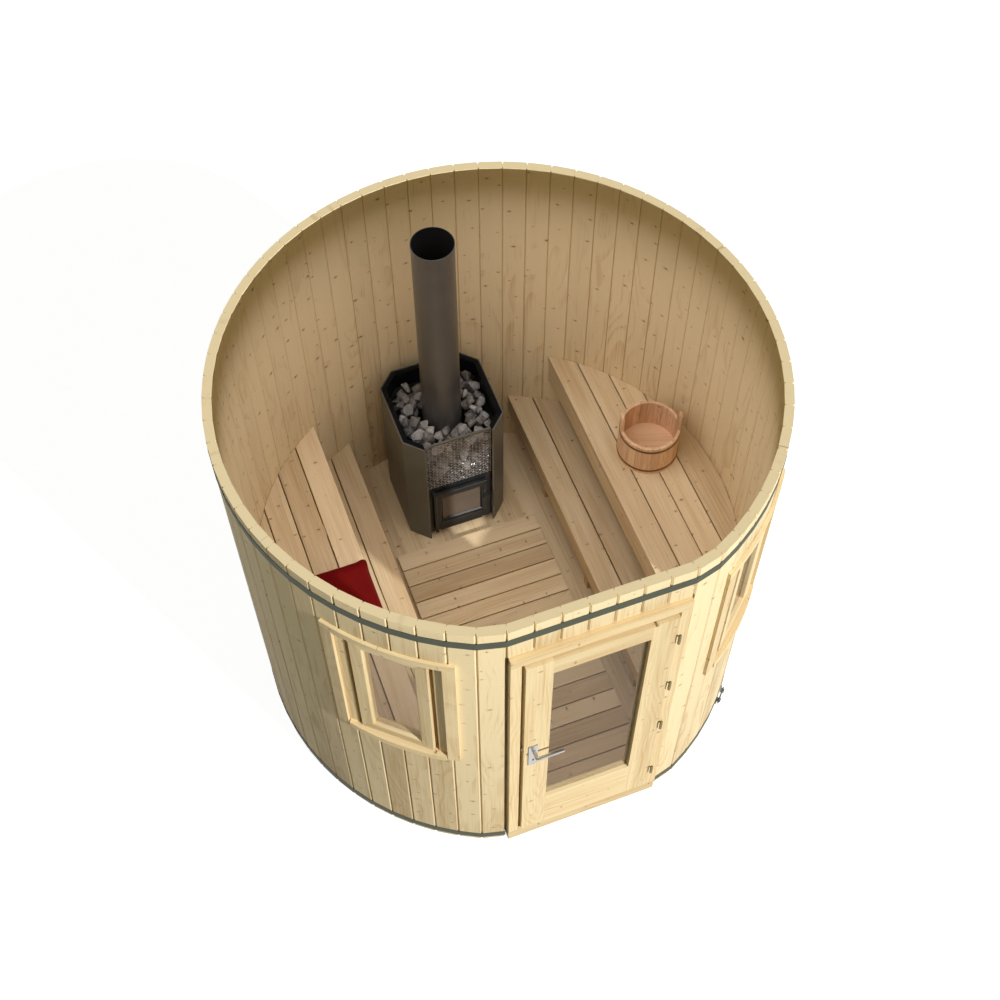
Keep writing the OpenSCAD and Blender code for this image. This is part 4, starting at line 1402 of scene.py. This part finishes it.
@dataclass
class Window:
    """One window: trim, sill, lining and casement, with its glass.

    The pane has a depth behind the casement's face and a thickness, and the stop a width at
    the sides and one above and below.
    """

    side: Side
    angle: float = math.radians(41.75)
    half: float = 170 * MM
    gap: float = 20 * MM
    lining: float = 44 * MM
    trim: float = 52 * MM
    trim_high: float = 40 * MM
    stile: float = 58 * MM
    top_rail: float = 76 * MM
    bottom_rail: float = 46 * MM
    thick: float = 45 * MM
    behind: float = 18 * MM
    proud: float = 15 * MM
    slope: float = 4 * MM
    pane: Point = (20 * MM, 6 * MM)
    around: float = 6 * MM
    stop: Point = (34 * MM, 20 * MM)

    @property
    def place(self) -> Matrix:
        """Turns the window's own frame, outwards along -Y, to its place."""
        return Matrix.Rotation(self.side.value * self.angle, 4, "Z")

    @property
    def lining_half(self) -> float:
        """Half the lining's width."""
        return self.half + self.gap + self.lining

    @property
    def lining_heights(self) -> Point:
        """The lining's foot and top."""
        low, high = self.box("lining")
        return low.z, high.z

    def box(self, part: str) -> tuple[Vector, Vector]:
        """Box of one of the window's nodes."""
        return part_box(f"window_{part}_{self.side.word}")

    def build(self, dresser: Dresser) -> None:
        """Builds the window."""
        word = self.side.word
        plane = math.sqrt(PLAN.outer ** 2 - self.half ** 2)
        face = math.sqrt(PLAN.outer ** 2 - self.lining_half ** 2) - MM
        low, high = self.box("casement")
        self.build_trim(dresser, face)
        self.build_lining(dresser, face, plane - self.thick)
        boards = Joinery(f"casement_boards_{word}", 73 + self.side.value)
        inner = (self.stile - self.half, low.z + self.bottom_rail,
                 self.half - self.stile, high.z - self.top_rail)
        self.lay(boards, framed((-self.half, low.z, self.half, high.z), inner, -plane,
                                self.thick - plane, self.slope))
        dresser.dress(boards.build(), "spruce_joinery", "joinery_wood", f"window_casement_{word}")
        pane = block((inner[0], self.pane[0] - plane, inner[1]),
                     (inner[2], self.pane[0] + self.pane[1] - plane, inner[3]))
        dresser.dress(joined(f"window_pane_{word}", [pane], self.place), "clear_glass",
                      "clear_glass", f"window_glass_{word}")

    def lay(self, boards: Joinery, frame_boards: Iterable[bmesh.types.BMesh]) -> None:
        """Lays a frame's four boards, of which the second and the fourth lie level."""
        for k, board in enumerate(frame_boards):
            boards.lay(board, straight(ACROSS if k % 2 else UPRIGHT, OUT), self.place)

    def arc(self, radii: Point, angles: Point, low: float, high: float) -> bmesh.types.BMesh:
        """A board bent round the wall, between two radii, angles and heights."""
        turns = [angles[0] + (angles[1] - angles[0]) * k / 20 for k in range(21)]
        outline = [(radii[1] * math.sin(a), -radii[1] * math.cos(a)) for a in turns]
        outline += [(radii[0] * math.sin(a), -radii[0] * math.cos(a)) for a in reversed(turns)]
        board = prism(outline, low, high)
        round_edges(board, 2 * MM, 2)
        return board

    def build_trim(self, dresser: Dresser, face: float) -> None:
        """Builds the trim above and beside the window, and the sill."""
        word, radii = self.side.word, (PLAN.outer, PLAN.outer + self.proud)
        low, high = self.box("trim")
        inside, outside = (math.asin(x / PLAN.outer)
                           for x in (self.lining_half, self.lining_half + self.trim))
        boards = Joinery(f"window_boards_{word}", 77 + self.side.value)
        # The top board gets a fixed light tone, painted light for the lamp falling on it from above.
        boards.lay(self.arc(radii, (-outside, outside), high.z - self.trim_high, high.z), bent,
                   self.place, 0.1)
        for angles in ((-outside, -inside), (inside, outside)):
            side = self.arc(radii, angles, low.z + 10 * MM, high.z - self.trim_high - 0.5 * MM)
            boards.lay(side, straight(UPRIGHT, OUT), self.place)
        half, reach = self.lining_half - 4 * MM, PLAN.outer + self.proud + 3 * MM
        turn = math.asin(half / reach)
        outline = [(reach * math.sin(turn * (k / 10 - 1)), -reach * math.cos(turn * (k / 10 - 1)))
                   for k in range(21)] + [(half, -face), (-half, -face)]
        sill = prism(outline, low.z, self.box("casement")[0].z - self.around)
        round_edges(sill, 2.5 * MM, 2)
        # The sill gets a fixed light tone, painted light on its upward face.
        boards.lay(sill, straight(ACROSS, UPRIGHT), self.place, 0.2)
        dresser.dress(boards.build(), "spruce_joinery", "joinery_wood", f"window_trim_{word}")

    def build_lining(self, dresser: Dresser, face: float, stop: float) -> None:
        """Builds the lining and the stop that the casement rests on."""
        low, high = self.lining_heights
        way = self.half + self.gap
        casement = self.box("casement")
        foot, top = casement[0].z - self.around, casement[1].z + self.around
        wide, tall = self.stop
        back = stop - self.behind
        boards = Joinery(f"lining_boards_{self.side.word}", 81 + self.side.value)
        opening = (-way, foot, way, top)
        self.lay(boards, framed((-self.lining_half, low, self.lining_half, high), opening,
                                -face, -back, MM))
        self.lay(boards, framed(opening, (wide - way, foot + tall, way - wide, top - tall),
                                -stop, -back, MM))
        dresser.dress(boards.build(), "spruce_joinery", "joinery_wood",
                      f"window_lining_{self.side.word}")


@dataclass
class Stove:
    """The stove: sheet casing, rim, firebox, grille, stones and fire door.

    Stones are tried for a number of rounds, with a number of places each, and the lowest
    place is kept. They sink into each other by what nestle leaves of their radii, the heap
    falls away from the pipe by its slope, and it starts at bed below its top. The fire door's
    grip has the height of its top above the door's foot and a length.
    """

    holes: int = 18
    wire: float = 1.2 * MM
    rows: int = 30
    columns: int = 18
    weave: float = 2.2 * MM
    stone: Point = (33 * MM, 47 * MM)
    stone_seed: int = 7
    stone_tries: tuple[int, ...] = (900, 18)
    nestle: float = 0.68
    heap_slope: float = 0.14
    bed: float = 110 * MM
    chamfer: float = 9 * MM
    grip: Point = (243 * MM, 146 * MM)

    def build(self, dresser: Dresser) -> None:
        """Builds the stove."""
        dresser.keep("stove_casing", "stove_paint", 1.2 * MM)
        dresser.keep("stove_rim", "rim_black", 1 * MM)
        dresser.keep("stove_firebox", "black_iron", 1 * MM)
        self.build_front(dresser)
        self.build_grille(dresser)
        self.build_stones(dresser)
        self.build_door(dresser)

    def build_front(self, dresser: Dresser) -> None:
        """Builds the drawer's lip and, beside the door, a row of dark discs painted as the shade in
        holes.
        """
        low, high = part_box("stove_firebox")
        plate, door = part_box("stove_grille")[0].y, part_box("fire_door")[0]
        lip = eased((low.x + 60 * MM, plate - 15 * MM, door.z - 26 * MM),
                    (high.x - 60 * MM, plate, door.z - 10 * MM))
        tall = high.z - door.z - 20 * MM
        # Thin dark discs on the plate: painted shade for a row of holes.
        holes = [moved(disc(2.6 * MM, 10), at(low.x + 9 * MM, plate,
                                              door.z + tall * k / (self.holes - 1), math.pi / 2, "X"))
                 for k in range(self.holes)]
        dresser.dress(joined("stove_lip", [lip]), "black_iron", "stove_black")
        dresser.dress(joined("stove_holes", holes), "soot_and_hole_shade", "stove_black")

    def build_grille(self, dresser: Dresser) -> None:
        """Builds the woven wire grille and the bar along its top."""
        low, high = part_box("stove_grille")
        middle, edge, paths = (low.y + high.y) / 2, 2 * MM, []
        left, foot = low.x + edge, low.z + edge
        width, height = high.x - low.x - 2 * edge, high.z - low.z - 2 * edge
        for row in range(self.rows):
            z, count = foot + height * (row + 0.5) / self.rows, self.columns * 4
            turns = [2 * math.pi * k / 8 for k in range(count + 1)]
            paths.append([Vector((left + width * k / count,
                                  middle - self.weave * math.cos(turn + math.pi * (row % 2)),
                                  z + 3.2 * MM * math.cos(turn + row * 1.3)))
                          for k, turn in enumerate(turns)])
        for column in range(self.columns + 1):
            swings = [(-1) ** (k + column) for k in range(self.rows + 1)]
            paths.append([Vector((left + width / self.columns * column + 1.6 * MM * swing,
                                  middle + self.weave * swing, foot + height * k / self.rows))
                          for k, swing in enumerate(swings)])
        wires = [sweep(path, [self.wire] * len(path), 4) for path in paths]
        bar = eased((low.x, low.y - 3 * MM, high.z - 9 * MM),
                    (high.x, high.y + 3 * MM, high.z + 4 * MM), 1.2 * MM)
        dresser.dress(joined("grille_wires", wires), "grille_wire", "grille_steel", "stove_grille")
        dresser.dress(joined("grille_bar", [bar]), "stove_paint", "stove_black")

    def build_stones(self, dresser: Dresser) -> None:
        """Heaps stones round the flue, each at rest on those below it."""
        luck = random.Random(self.stone_seed)
        low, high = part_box("stove_stones")
        pipe_low, pipe_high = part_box("flue_pipe")
        middle, pipe, half = (pipe_low.y + pipe_high.y) / 2, (pipe_high.x - pipe_low.x) / 2, high.x
        boards = Joinery("stone_heap", self.stone_seed)
        placed: list[tuple[float, float, float, float]] = []
        rounds, tries = self.stone_tries
        for _ in range(rounds):
            radius = luck.uniform(*self.stone)
            edge = radius * 0.74
            best = None
            for _ in range(tries):
                x = luck.uniform(-half + edge, half - edge)
                y = luck.uniform(low.y + edge, high.y - edge)
                out = math.hypot(x, y - middle)
                if abs(x) + abs(y - middle) > half * 1.70 - edge or out < pipe + radius * 0.92:
                    continue
                near_front = y < low.y + 75 * MM and abs(x) < half - 40 * MM
                z = low.z + radius if near_front else high.z - self.bed
                for px, py, pz, pr in placed:
                    reach = (radius + pr) * self.nestle
                    away = (x - px) ** 2 + (y - py) ** 2
                    if away < reach * reach:
                        z = max(z, pz + math.sqrt(reach * reach - away))
                limit = high.z + 2 * MM - self.heap_slope * max(0.0, out - pipe)
                if z + radius * 0.8 < limit and (best is None or z < best[2]):
                    best = (x, y, z)
            if best is not None:
                placed.append((*best, radius))
                boards.lay(self.lump(luck, radius), straight(UPRIGHT, BACK), at(*best))
        dresser.dress(boards.build(), "heater_stones", "stones", "stove_stones")

    def lump(self, luck: random.Random, radius: float) -> bmesh.types.BMesh:
        """One angular broken stone."""
        lump = bmesh.new()
        squeeze = [luck.uniform(0.8, 1.04) for _ in range(3)]
        for _ in range(12):
            spot = Vector([luck.gauss(0, 1) for _ in range(3)]).normalized() * luck.uniform(0.86, 1.06)
            lump.verts.new([spot[i] * squeeze[i] * radius for i in range(3)])
        made = bmesh.ops.convex_hull(lump, input=lump.verts)
        loose = [v for v in made["geom_interior"] if isinstance(v, bmesh.types.BMVert)]
        bmesh.ops.delete(lump, geom=loose, context="VERTS")
        bmesh.ops.bevel(lump, geom=lump.edges[:], offset=1.6 * MM, segments=1, affect="EDGES",
                        clamp_overlap=True)
        return lump

    def build_door(self, dresser: Dresser) -> None:
        """Builds the fire door with its knuckle, knob and handle."""
        low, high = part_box("fire_door")
        glass_low, glass_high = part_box("fire_door_glass")
        hinge_x, hinge_y, _ = frame["joints"][2]["pos_m"]
        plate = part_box("stove_grille")[0].y
        front, back = plate - 25 * MM, plate - 5 * MM
        half, x = abs(hinge_x) - 4 * MM, high.x - 7 * MM
        solids = framed((-half, low.z, half, high.z),
                        (glass_low.x, glass_low.z, glass_high.x, glass_high.z),
                        front, back, self.chamfer)
        knuckle = [(5.1 * MM, low.z + 2 * MM), (8.5 * MM, low.z + 2.6 * MM),
                   (8.5 * MM, high.z - 2.6 * MM), (5.1 * MM, high.z - 2 * MM)]
        solids.append(moved(lathe(knuckle, 20), at(hinge_x, hinge_y, 0)))
        solids.append(eased((glass_low.x - 12 * MM, front - 7 * MM, glass_low.z - 24 * MM),
                            (glass_high.x + 12 * MM, front + 2 * MM, glass_low.z - 14 * MM)))
        knob = lathe([(0, 0), (4 * MM, 0), (4 * MM, 5 * MM), (7 * MM, 8 * MM), (7 * MM, 13 * MM),
                      (5 * MM, 15 * MM), (0, 15.5 * MM)], 16)
        place = at(half - 17 * MM, front, glass_high.z - 25 * MM, math.pi / 2, "X")
        solids.append(moved(knob, place))
        top, length = low.z + self.grip[0], self.grip[1]
        grip = [Vector((x, front - 18 * MM, top - length * (1 - share)))
                for share in (0.0, 0.02, 0.06, 0.5, 0.94, 0.98, 1.0)]
        solids.append(sweep(grip, [4 * MM, 6 * MM, 7 * MM, 7 * MM, 7 * MM, 6 * MM, 4 * MM], 12))
        solids.append(eased((half - 20 * MM, front - 13 * MM, low.z + 194 * MM),
                            (x, front + MM, low.z + 208 * MM)))
        dresser.dress(joined("stove_door_frame", solids), "black_iron", "stove_black", "fire_door",
                      body=Body.STOVE_DOOR)
        bars = []
        for z in (glass_low.z + 26 * MM, glass_low.z + 44 * MM):
            line = [Vector((glass_low.x, back - MM, z)), Vector((glass_high.x, back - MM, z))]
            bars.append(sweep(line, [2.5 * MM] * 2, 8))
        dresser.dress(joined("stove_door_bars", bars), "satin_steel", "stove_black",
                      body=Body.STOVE_DOOR)
        dresser.keep("fire_door_glass", "smoked_glass")


@dataclass
class Flue:
    """The flue pipe, sooty inside."""

    wall: float = 3 * MM
    lip: float = 1 * MM

    def build(self, dresser: Dresser) -> None:
        """Builds the pipe and its inner skin."""
        low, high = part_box("flue_pipe")
        middle, radius = (low + high) / 2, (high.x - low.x) / 2
        inside = radius - self.wall
        outline = [(inside, low.z), (radius - self.lip, low.z), (radius - self.lip, high.z - 14 * MM),
                   (radius, high.z - 13 * MM), (radius, high.z - MM), (radius - MM, high.z),
                   (inside, high.z)]
        place = at(middle.x, middle.y, 0)
        dresser.dress(joined("flue", [lathe(outline, 72)], place), "flue_steel", "flue_steel",
                      "flue_pipe")
        skin = [(inside - 0.6 * MM, low.z + MM), (inside - 0.1 * MM, low.z + MM),
                (inside - 0.1 * MM, high.z - 2 * MM), (inside - 0.6 * MM, high.z - 2 * MM)]
        dresser.dress(joined("flue_soot_and_hole_shade", [lathe(skin, 72)], place), "soot_and_hole_shade", "flue_steel")


@dataclass
class Bucket:
    """A staved bucket with two ears and two hoops.

    The ear's rows each give a share of its height and the share of its width that is left.
    """

    staves: int = 10
    ear_half: float = 34 * MM
    thick: float = 15 * MM
    height: float = 205 * MM
    rim: float = 152 * MM
    foot: float = 156 * MM
    turn: float = math.radians(-19)
    gap: float = 0.9 * MM
    base: Point = (12 * MM, 30 * MM)
    band: float = 14 * MM
    band_feet: Point = (18 * MM, 173 * MM)
    ear: tuple[Point, ...] = ((0.45, 1.0), (0.8, 0.86), (0.95, 0.62), (1.0, 0.38))

    def build(self, dresser: Dresser) -> None:
        """Builds the bucket."""
        low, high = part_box("bucket")
        place = at((low.x + high.x) / 2, (low.y + high.y) / 2, low.z, self.turn)
        boards = Joinery("bucket_staves", 91)
        ear = math.asin(self.ear_half / self.rim)
        step = (math.pi - 2 * ear) / self.staves
        for half in (0.0, math.pi):
            staves = [(half - ear, half + ear, high.z - low.z)]
            starts = [half + ear + k * step for k in range(self.staves)]
            staves += [(start, start + step, self.height) for start in starts]
            for start, end, top in staves:
                turn = (start + end) / 2
                boards.lay(self.stave(start, end, top),
                           straight(UPRIGHT, (math.cos(turn), math.sin(turn), 0)), place)
        radius, (lower, upper) = self.foot - self.thick, self.base
        base = lathe([(0, lower), (radius, lower), (radius, upper), (0, upper)], 48)
        boards.lay(base, straight(ACROSS, UPRIGHT), place)
        dresser.dress(boards.build(), "stained_pine", "bucket_wood", "bucket")
        bands = []
        for z in self.band_feet:
            radius, top = self.radius(z), z + self.band
            bands.append(lathe([(radius - 0.5 * MM, z), (radius + MM, z), (radius + 0.8 * MM, top),
                                (radius - 0.5 * MM, top)], 64))
        dresser.dress(joined("bucket_hoops", bands, place), "bucket_band", "bucket_wood")

    def radius(self, z: float) -> float:
        """The outer radius at a height above the bucket's foot."""
        return self.foot + (self.rim - self.foot) * min(1.0, z / self.height)

    def stave(self, start: float, end: float, top: float) -> bmesh.types.BMesh:
        """A tapered stave between two angles; a tall one has a rounded ear."""
        stave = bmesh.new()
        arc = [start + (end - start) * k / 6 for k in range(7)]
        slack, middle, rise = self.gap / self.foot, (start + end) / 2, top - self.height
        arc[0], arc[-1] = arc[0] + slack, arc[-1] - slack
        rows = [(0.0, 1.0), (self.height, 1.0)]
        rows += [(self.height + rise * share, width) for share, width in self.ear if rise > MM]
        rings = []
        for z, width in rows:
            radius = self.radius(z)
            turns = [middle + (a - middle) * width for a in arc]
            ring = [(radius * math.cos(a), radius * math.sin(a), z) for a in turns]
            inside = radius - self.thick
            ring += [(inside * math.cos(a), inside * math.sin(a), z) for a in reversed(turns)]
            rings.append([stave.verts.new(p) for p in ring])
        stave.faces.new(rings[0][::-1])
        stave.faces.new(rings[-1])
        for lower, upper in zip(rings, rings[1:]):
            for k in range(len(lower)):
                stave.faces.new((lower[k - 1], lower[k], upper[k], upper[k - 1]))
        round_edges(stave, 1.2 * MM)
        return stave


@dataclass
class SeatPad:
    """The stuffed red seat pad, sewn in two layers with a seam round its middle."""

    inset: float = 2 * MM
    voxel: float = 5 * MM
    pressure: float = 4.0
    frames: int = 20
    cap: float = 12 * MM
    crown: float = 8 * MM
    ripple: float = 2.2 * MM
    ripples: float = 14.0
    corner: float = 24 * MM
    seam: float = 7 * MM
    seam_half: float = 3.5 * MM

    def outline(self, low: Vector, high: Vector, inset: float) -> list[Point]:
        """The pad's plan with round corners, drawn in by a distance."""
        radius = self.corner - inset
        outline = []
        for cx, cy, start in ((high.x, low.y, -90), (high.x, high.y, 0), (low.x, high.y, 90),
                              (low.x, low.y, 180)):
            x = cx + (self.corner if cx == low.x else -self.corner)
            y = cy + (self.corner if cy == low.y else -self.corner)
            for k in range(9):
                a = math.radians(start + 90 * k / 8)
                outline.append((x + radius * math.cos(a), y + radius * math.sin(a)))
        return outline

    def build(self, dresser: Dresser) -> None:
        """Builds the pad."""
        low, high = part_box("seat_pad")
        middle = (low + high) / 2
        core = prism(self.outline(low, high, self.inset), low.z + 8 * MM, high.z - 9 * MM)
        round_edges(core, 9 * MM, 3)
        pad = joined("pad_cushion", [core])
        remesh = pad.modifiers.new("even", "REMESH")
        remesh.mode, remesh.voxel_size = "VOXEL", self.voxel
        self.apply(pad)
        rest = np.empty(len(pad.data.vertices) * 3, np.float32)
        pad.data.vertices.foreach_get("co", rest)
        rest = rest.reshape(-1, 3)
        self.inflate(pad)
        self.settle(pad, rest, low, high, middle)
        smooth = pad.modifiers.new("fine", "SUBSURF")
        smooth.levels = smooth.render_levels = 1
        self.apply(pad)
        pad.data.polygons.foreach_set("use_smooth", [True] * len(pad.data.polygons))
        dresser.dress(pad, "red_cloth", "pad_fabric", "seat_pad")

    def apply(self, piece: bpy.types.Object) -> None:
        """Applies the piece's modifiers."""
        depsgraph = bpy.context.evaluated_depsgraph_get()
        mesh = bpy.data.meshes.new_from_object(piece.evaluated_get(depsgraph))
        piece.modifiers.clear()
        piece.data = mesh

    def inflate(self, pad: bpy.types.Object) -> None:
        """Swells the pad by a cloth simulation without gravity."""
        cloth = pad.modifiers.new("stuffing", "CLOTH")
        cloth.settings.use_pressure = True
        cloth.settings.uniform_pressure_force = self.pressure
        cloth.settings.effector_weights.gravity = 0
        cloth.settings.quality = 5
        for step in range(1, self.frames + 1):
            bpy.context.scene.frame_set(step)
        self.apply(pad)
        bpy.context.scene.frame_set(1)

    def settle(self, pad: bpy.types.Object, rest: np.ndarray, low: Vector, high: Vector,
               middle: Vector) -> None:
        """Caps how far the pad has moved, fits it to its room and shapes its seam and crown.

        Args:
            pad: the swollen pad.
            rest: its points before it swelled.
            low: the lowest corner of its room.
            high: the highest corner of its room.
            middle: the middle of its room.
        """
        points = np.empty(len(pad.data.vertices) * 3, np.float32)
        pad.data.vertices.foreach_get("co", points)
        points = points.reshape(-1, 3)
        move = points - rest
        length = np.linalg.norm(move, axis=1, keepdims=True)
        points = rest + move * np.minimum(1.0, self.cap / np.maximum(length, 1e-9))
        seam = np.exp(-((points[:, 2] - middle.z) / self.seam_half) ** 2)
        for axis in (0, 1):
            away = points[:, axis] - middle[axis]
            full = (high[axis] - low[axis]) / 2
            rim = np.clip((np.abs(away) / np.abs(away).max() - 0.8) / 0.2, 0, 1)
            away *= full / np.abs(away).max() * (1 - self.seam / full * seam * rim)
            points[:, axis] = middle[axis] + away
        u, v = ((points[:, axis] - middle[axis]) * 2 / (high[axis] - low[axis]) for axis in (0, 1))
        crown = np.clip(1 - u * u, 0, 1) * np.clip(1 - v * v, 0, 1)
        upper = points[:, 2] > middle.z
        points[:, 2] += np.where(upper, self.crown * crown, 0.0)
        for i in np.flatnonzero(upper):
            points[i, 2] += self.ripple * noise.noise(Vector(points[i].tolist()) * self.ripples)
        points = np.clip(points, np.array(low) + [MM, MM, 0.4 * MM], np.array(high) - MM)
        pad.data.vertices.foreach_set("co", points.astype(np.float32).ravel())
        pad.data.update()


# ---- The studio ----


@dataclass
class Studio:
    """Pale floor, soft light and the camera."""

    sun_from: tuple[float, float, float] = (0.375, -0.750, 0.545)
    sun: float = 3.78
    ambient: float = 0.118
    fill: float = 12.9
    fill_size: float = 1.9
    glow: float = 0.95
    floor_half: float = 60.0
    place: tuple[float, float, float] = (-1.31514, -3.54376, 7.10455)
    turn: tuple[float, float, float] = (32.537, 0.046, -20.543)
    lens: float = 53.844

    def build(self) -> None:
        """Builds the studio."""
        self.build_floor()
        self.build_world()
        self.build_lamps()
        self.build_shade()
        self.build_camera()
        bpy.context.scene.view_settings.view_transform = "Standard"

    def seen(self, w: Wiring) -> bpy.types.NodeSocket:
        """1 for what the camera sees, also in a reflection or through glass."""
        path = w.add("ShaderNodeLightPath").outputs
        either = w.sum("MAXIMUM", path["Is Camera Ray"], path["Is Glossy Ray"])
        return w.sum("MAXIMUM", either, path["Is Transmission Ray"])

    def build_floor(self) -> None:
        """A pale floor that looks white and keeps a soft shadow."""
        half = self.floor_half
        floor = joined("studio_floor", [block((-half, -half, -20 * MM), (half, half, -1 * MM))])
        material, w = new_material("studio_floor")
        lit = w.add("ShaderNodeBsdfDiffuse", {"Color": (0.32, 0.32, 0.32)}).outputs[0]
        bounce = w.add("ShaderNodeBsdfDiffuse", {"Color": (0.34, 0.32, 0.25)}).outputs[0]
        glow = w.add("ShaderNodeEmission", {"Color": (1, 1, 1), "Strength": self.glow}).outputs[0]
        white = w.add("ShaderNodeAddShader", {0: lit, 1: glow}).outputs[0]
        both = w.add("ShaderNodeMixShader", {0: self.seen(w), 1: bounce, 2: white})
        w.add("ShaderNodeOutputMaterial", {"Surface": both.outputs[0]})
        floor.data.materials.append(material)

    def build_world(self) -> None:
        """A white surround that lights softly."""
        world = bpy.data.worlds.new("studio_world")
        bpy.context.scene.world = world
        world.use_nodes = True
        w = Wiring(world.node_tree)
        soft = w.add("ShaderNodeBackground", {0: (1, 1, 0.66), 1: self.ambient}).outputs[0]
        white = w.add("ShaderNodeBackground", {0: (1, 1, 1), 1: 1.0}).outputs[0]
        path = w.add("ShaderNodeLightPath").outputs
        both = w.add("ShaderNodeMixShader", {0: path["Is Camera Ray"], 1: soft, 2: white})
        w.add("ShaderNodeOutputWorld", {"Surface": both.outputs[0]})
        world.cycles.sampling_method = "NONE"

    def build_lamps(self) -> None:
        """The main lamp from the front right and a soft one overhead."""
        key = bpy.data.lights.new("main_lamp", "SUN")
        key.energy, key.angle, key.color = self.sun, math.radians(1.2), (1.0, 0.985, 0.955)
        lamp = set_down("main_lamp", key)
        lamp.rotation_mode = "QUATERNION"
        lamp.rotation_quaternion = Vector(self.sun_from).to_track_quat("Z", "Y")
        soft = bpy.data.lights.new("overhead_lamp", "AREA")
        soft.shape, soft.size, soft.energy = "DISK", self.fill_size, self.fill
        soft.color, soft.spread = (0.97, 0.93, 1.0), math.radians(148)
        overhead = set_down("overhead_lamp", soft)
        overhead.location = (0, 0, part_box("wall_over_door")[1].z - 8 * MM)
        overhead.visible_camera = overhead.visible_glossy = False

    def build_shade(self) -> None:
        """A shade over the open top that only the main lamp's light meets."""
        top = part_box("wall_over_door")[1].z - 6 * MM
        right = [tuple(PLAN.joint(k)[1] * 1.008) for k in range(PLAN.staves + 1)]
        left = [(-x, y) for x, y in reversed(right[:-1])]
        shade = joined("studio_shade", [prism(right + left, top, top + 1 * MM)])
        shade.visible_camera = shade.visible_diffuse = False
        shade.visible_glossy = shade.visible_transmission = False
        material, w = new_material("studio_shade")
        path = w.add("ShaderNodeLightPath").outputs
        clear = w.add("ShaderNodeBsdfTransparent").outputs[0]
        dark = w.add("ShaderNodeBsdfDiffuse", {0: (0, 0, 0)}).outputs[0]
        both = w.add("ShaderNodeMixShader", {0: path["Is Shadow Ray"], 1: clear, 2: dark})
        w.add("ShaderNodeOutputMaterial", {"Surface": both.outputs[0]})
        shade.data.materials.append(material)

    def build_camera(self) -> None:
        """The camera, high in front and to the left."""
        data = bpy.data.cameras.new("studio_camera")
        data.lens, data.sensor_width, data.clip_end = self.lens, 36.0, 200.0
        camera = set_down("studio_camera", data)
        camera.location = self.place
        camera.rotation_euler = [math.radians(a) for a in self.turn]
        bpy.context.scene.camera = camera


def main() -> None:
    """Builds the sauna's pieces in order."""
    logging.basicConfig(level=logging.INFO, format="%(name)s: %(message)s")
    dresser = Dresser()
    Studio().build()
    upper, lower = (778 * MM, 905 * MM, 1028 * MM), (584 * MM,)
    assemblies = [Wall(), Hoops(), Floor(), DoorFrame(), Door(), Stove(), Flue(), Bucket(), SeatPad()]
    for side in Side:
        assemblies += [Bench("upper_seat", side, upper, 95 + side.value),
                       Bench("lower_seat", side, lower, 98 + side.value), Window(side)]
        dresser.keep(f"bench_supports_{side.word}", "spruce_bearers", 1 * MM)
    for assembly in assemblies:
        log.info("%s", type(assembly).__name__)
        assembly.build(dresser)


if __name__ == "__main__":
    main()
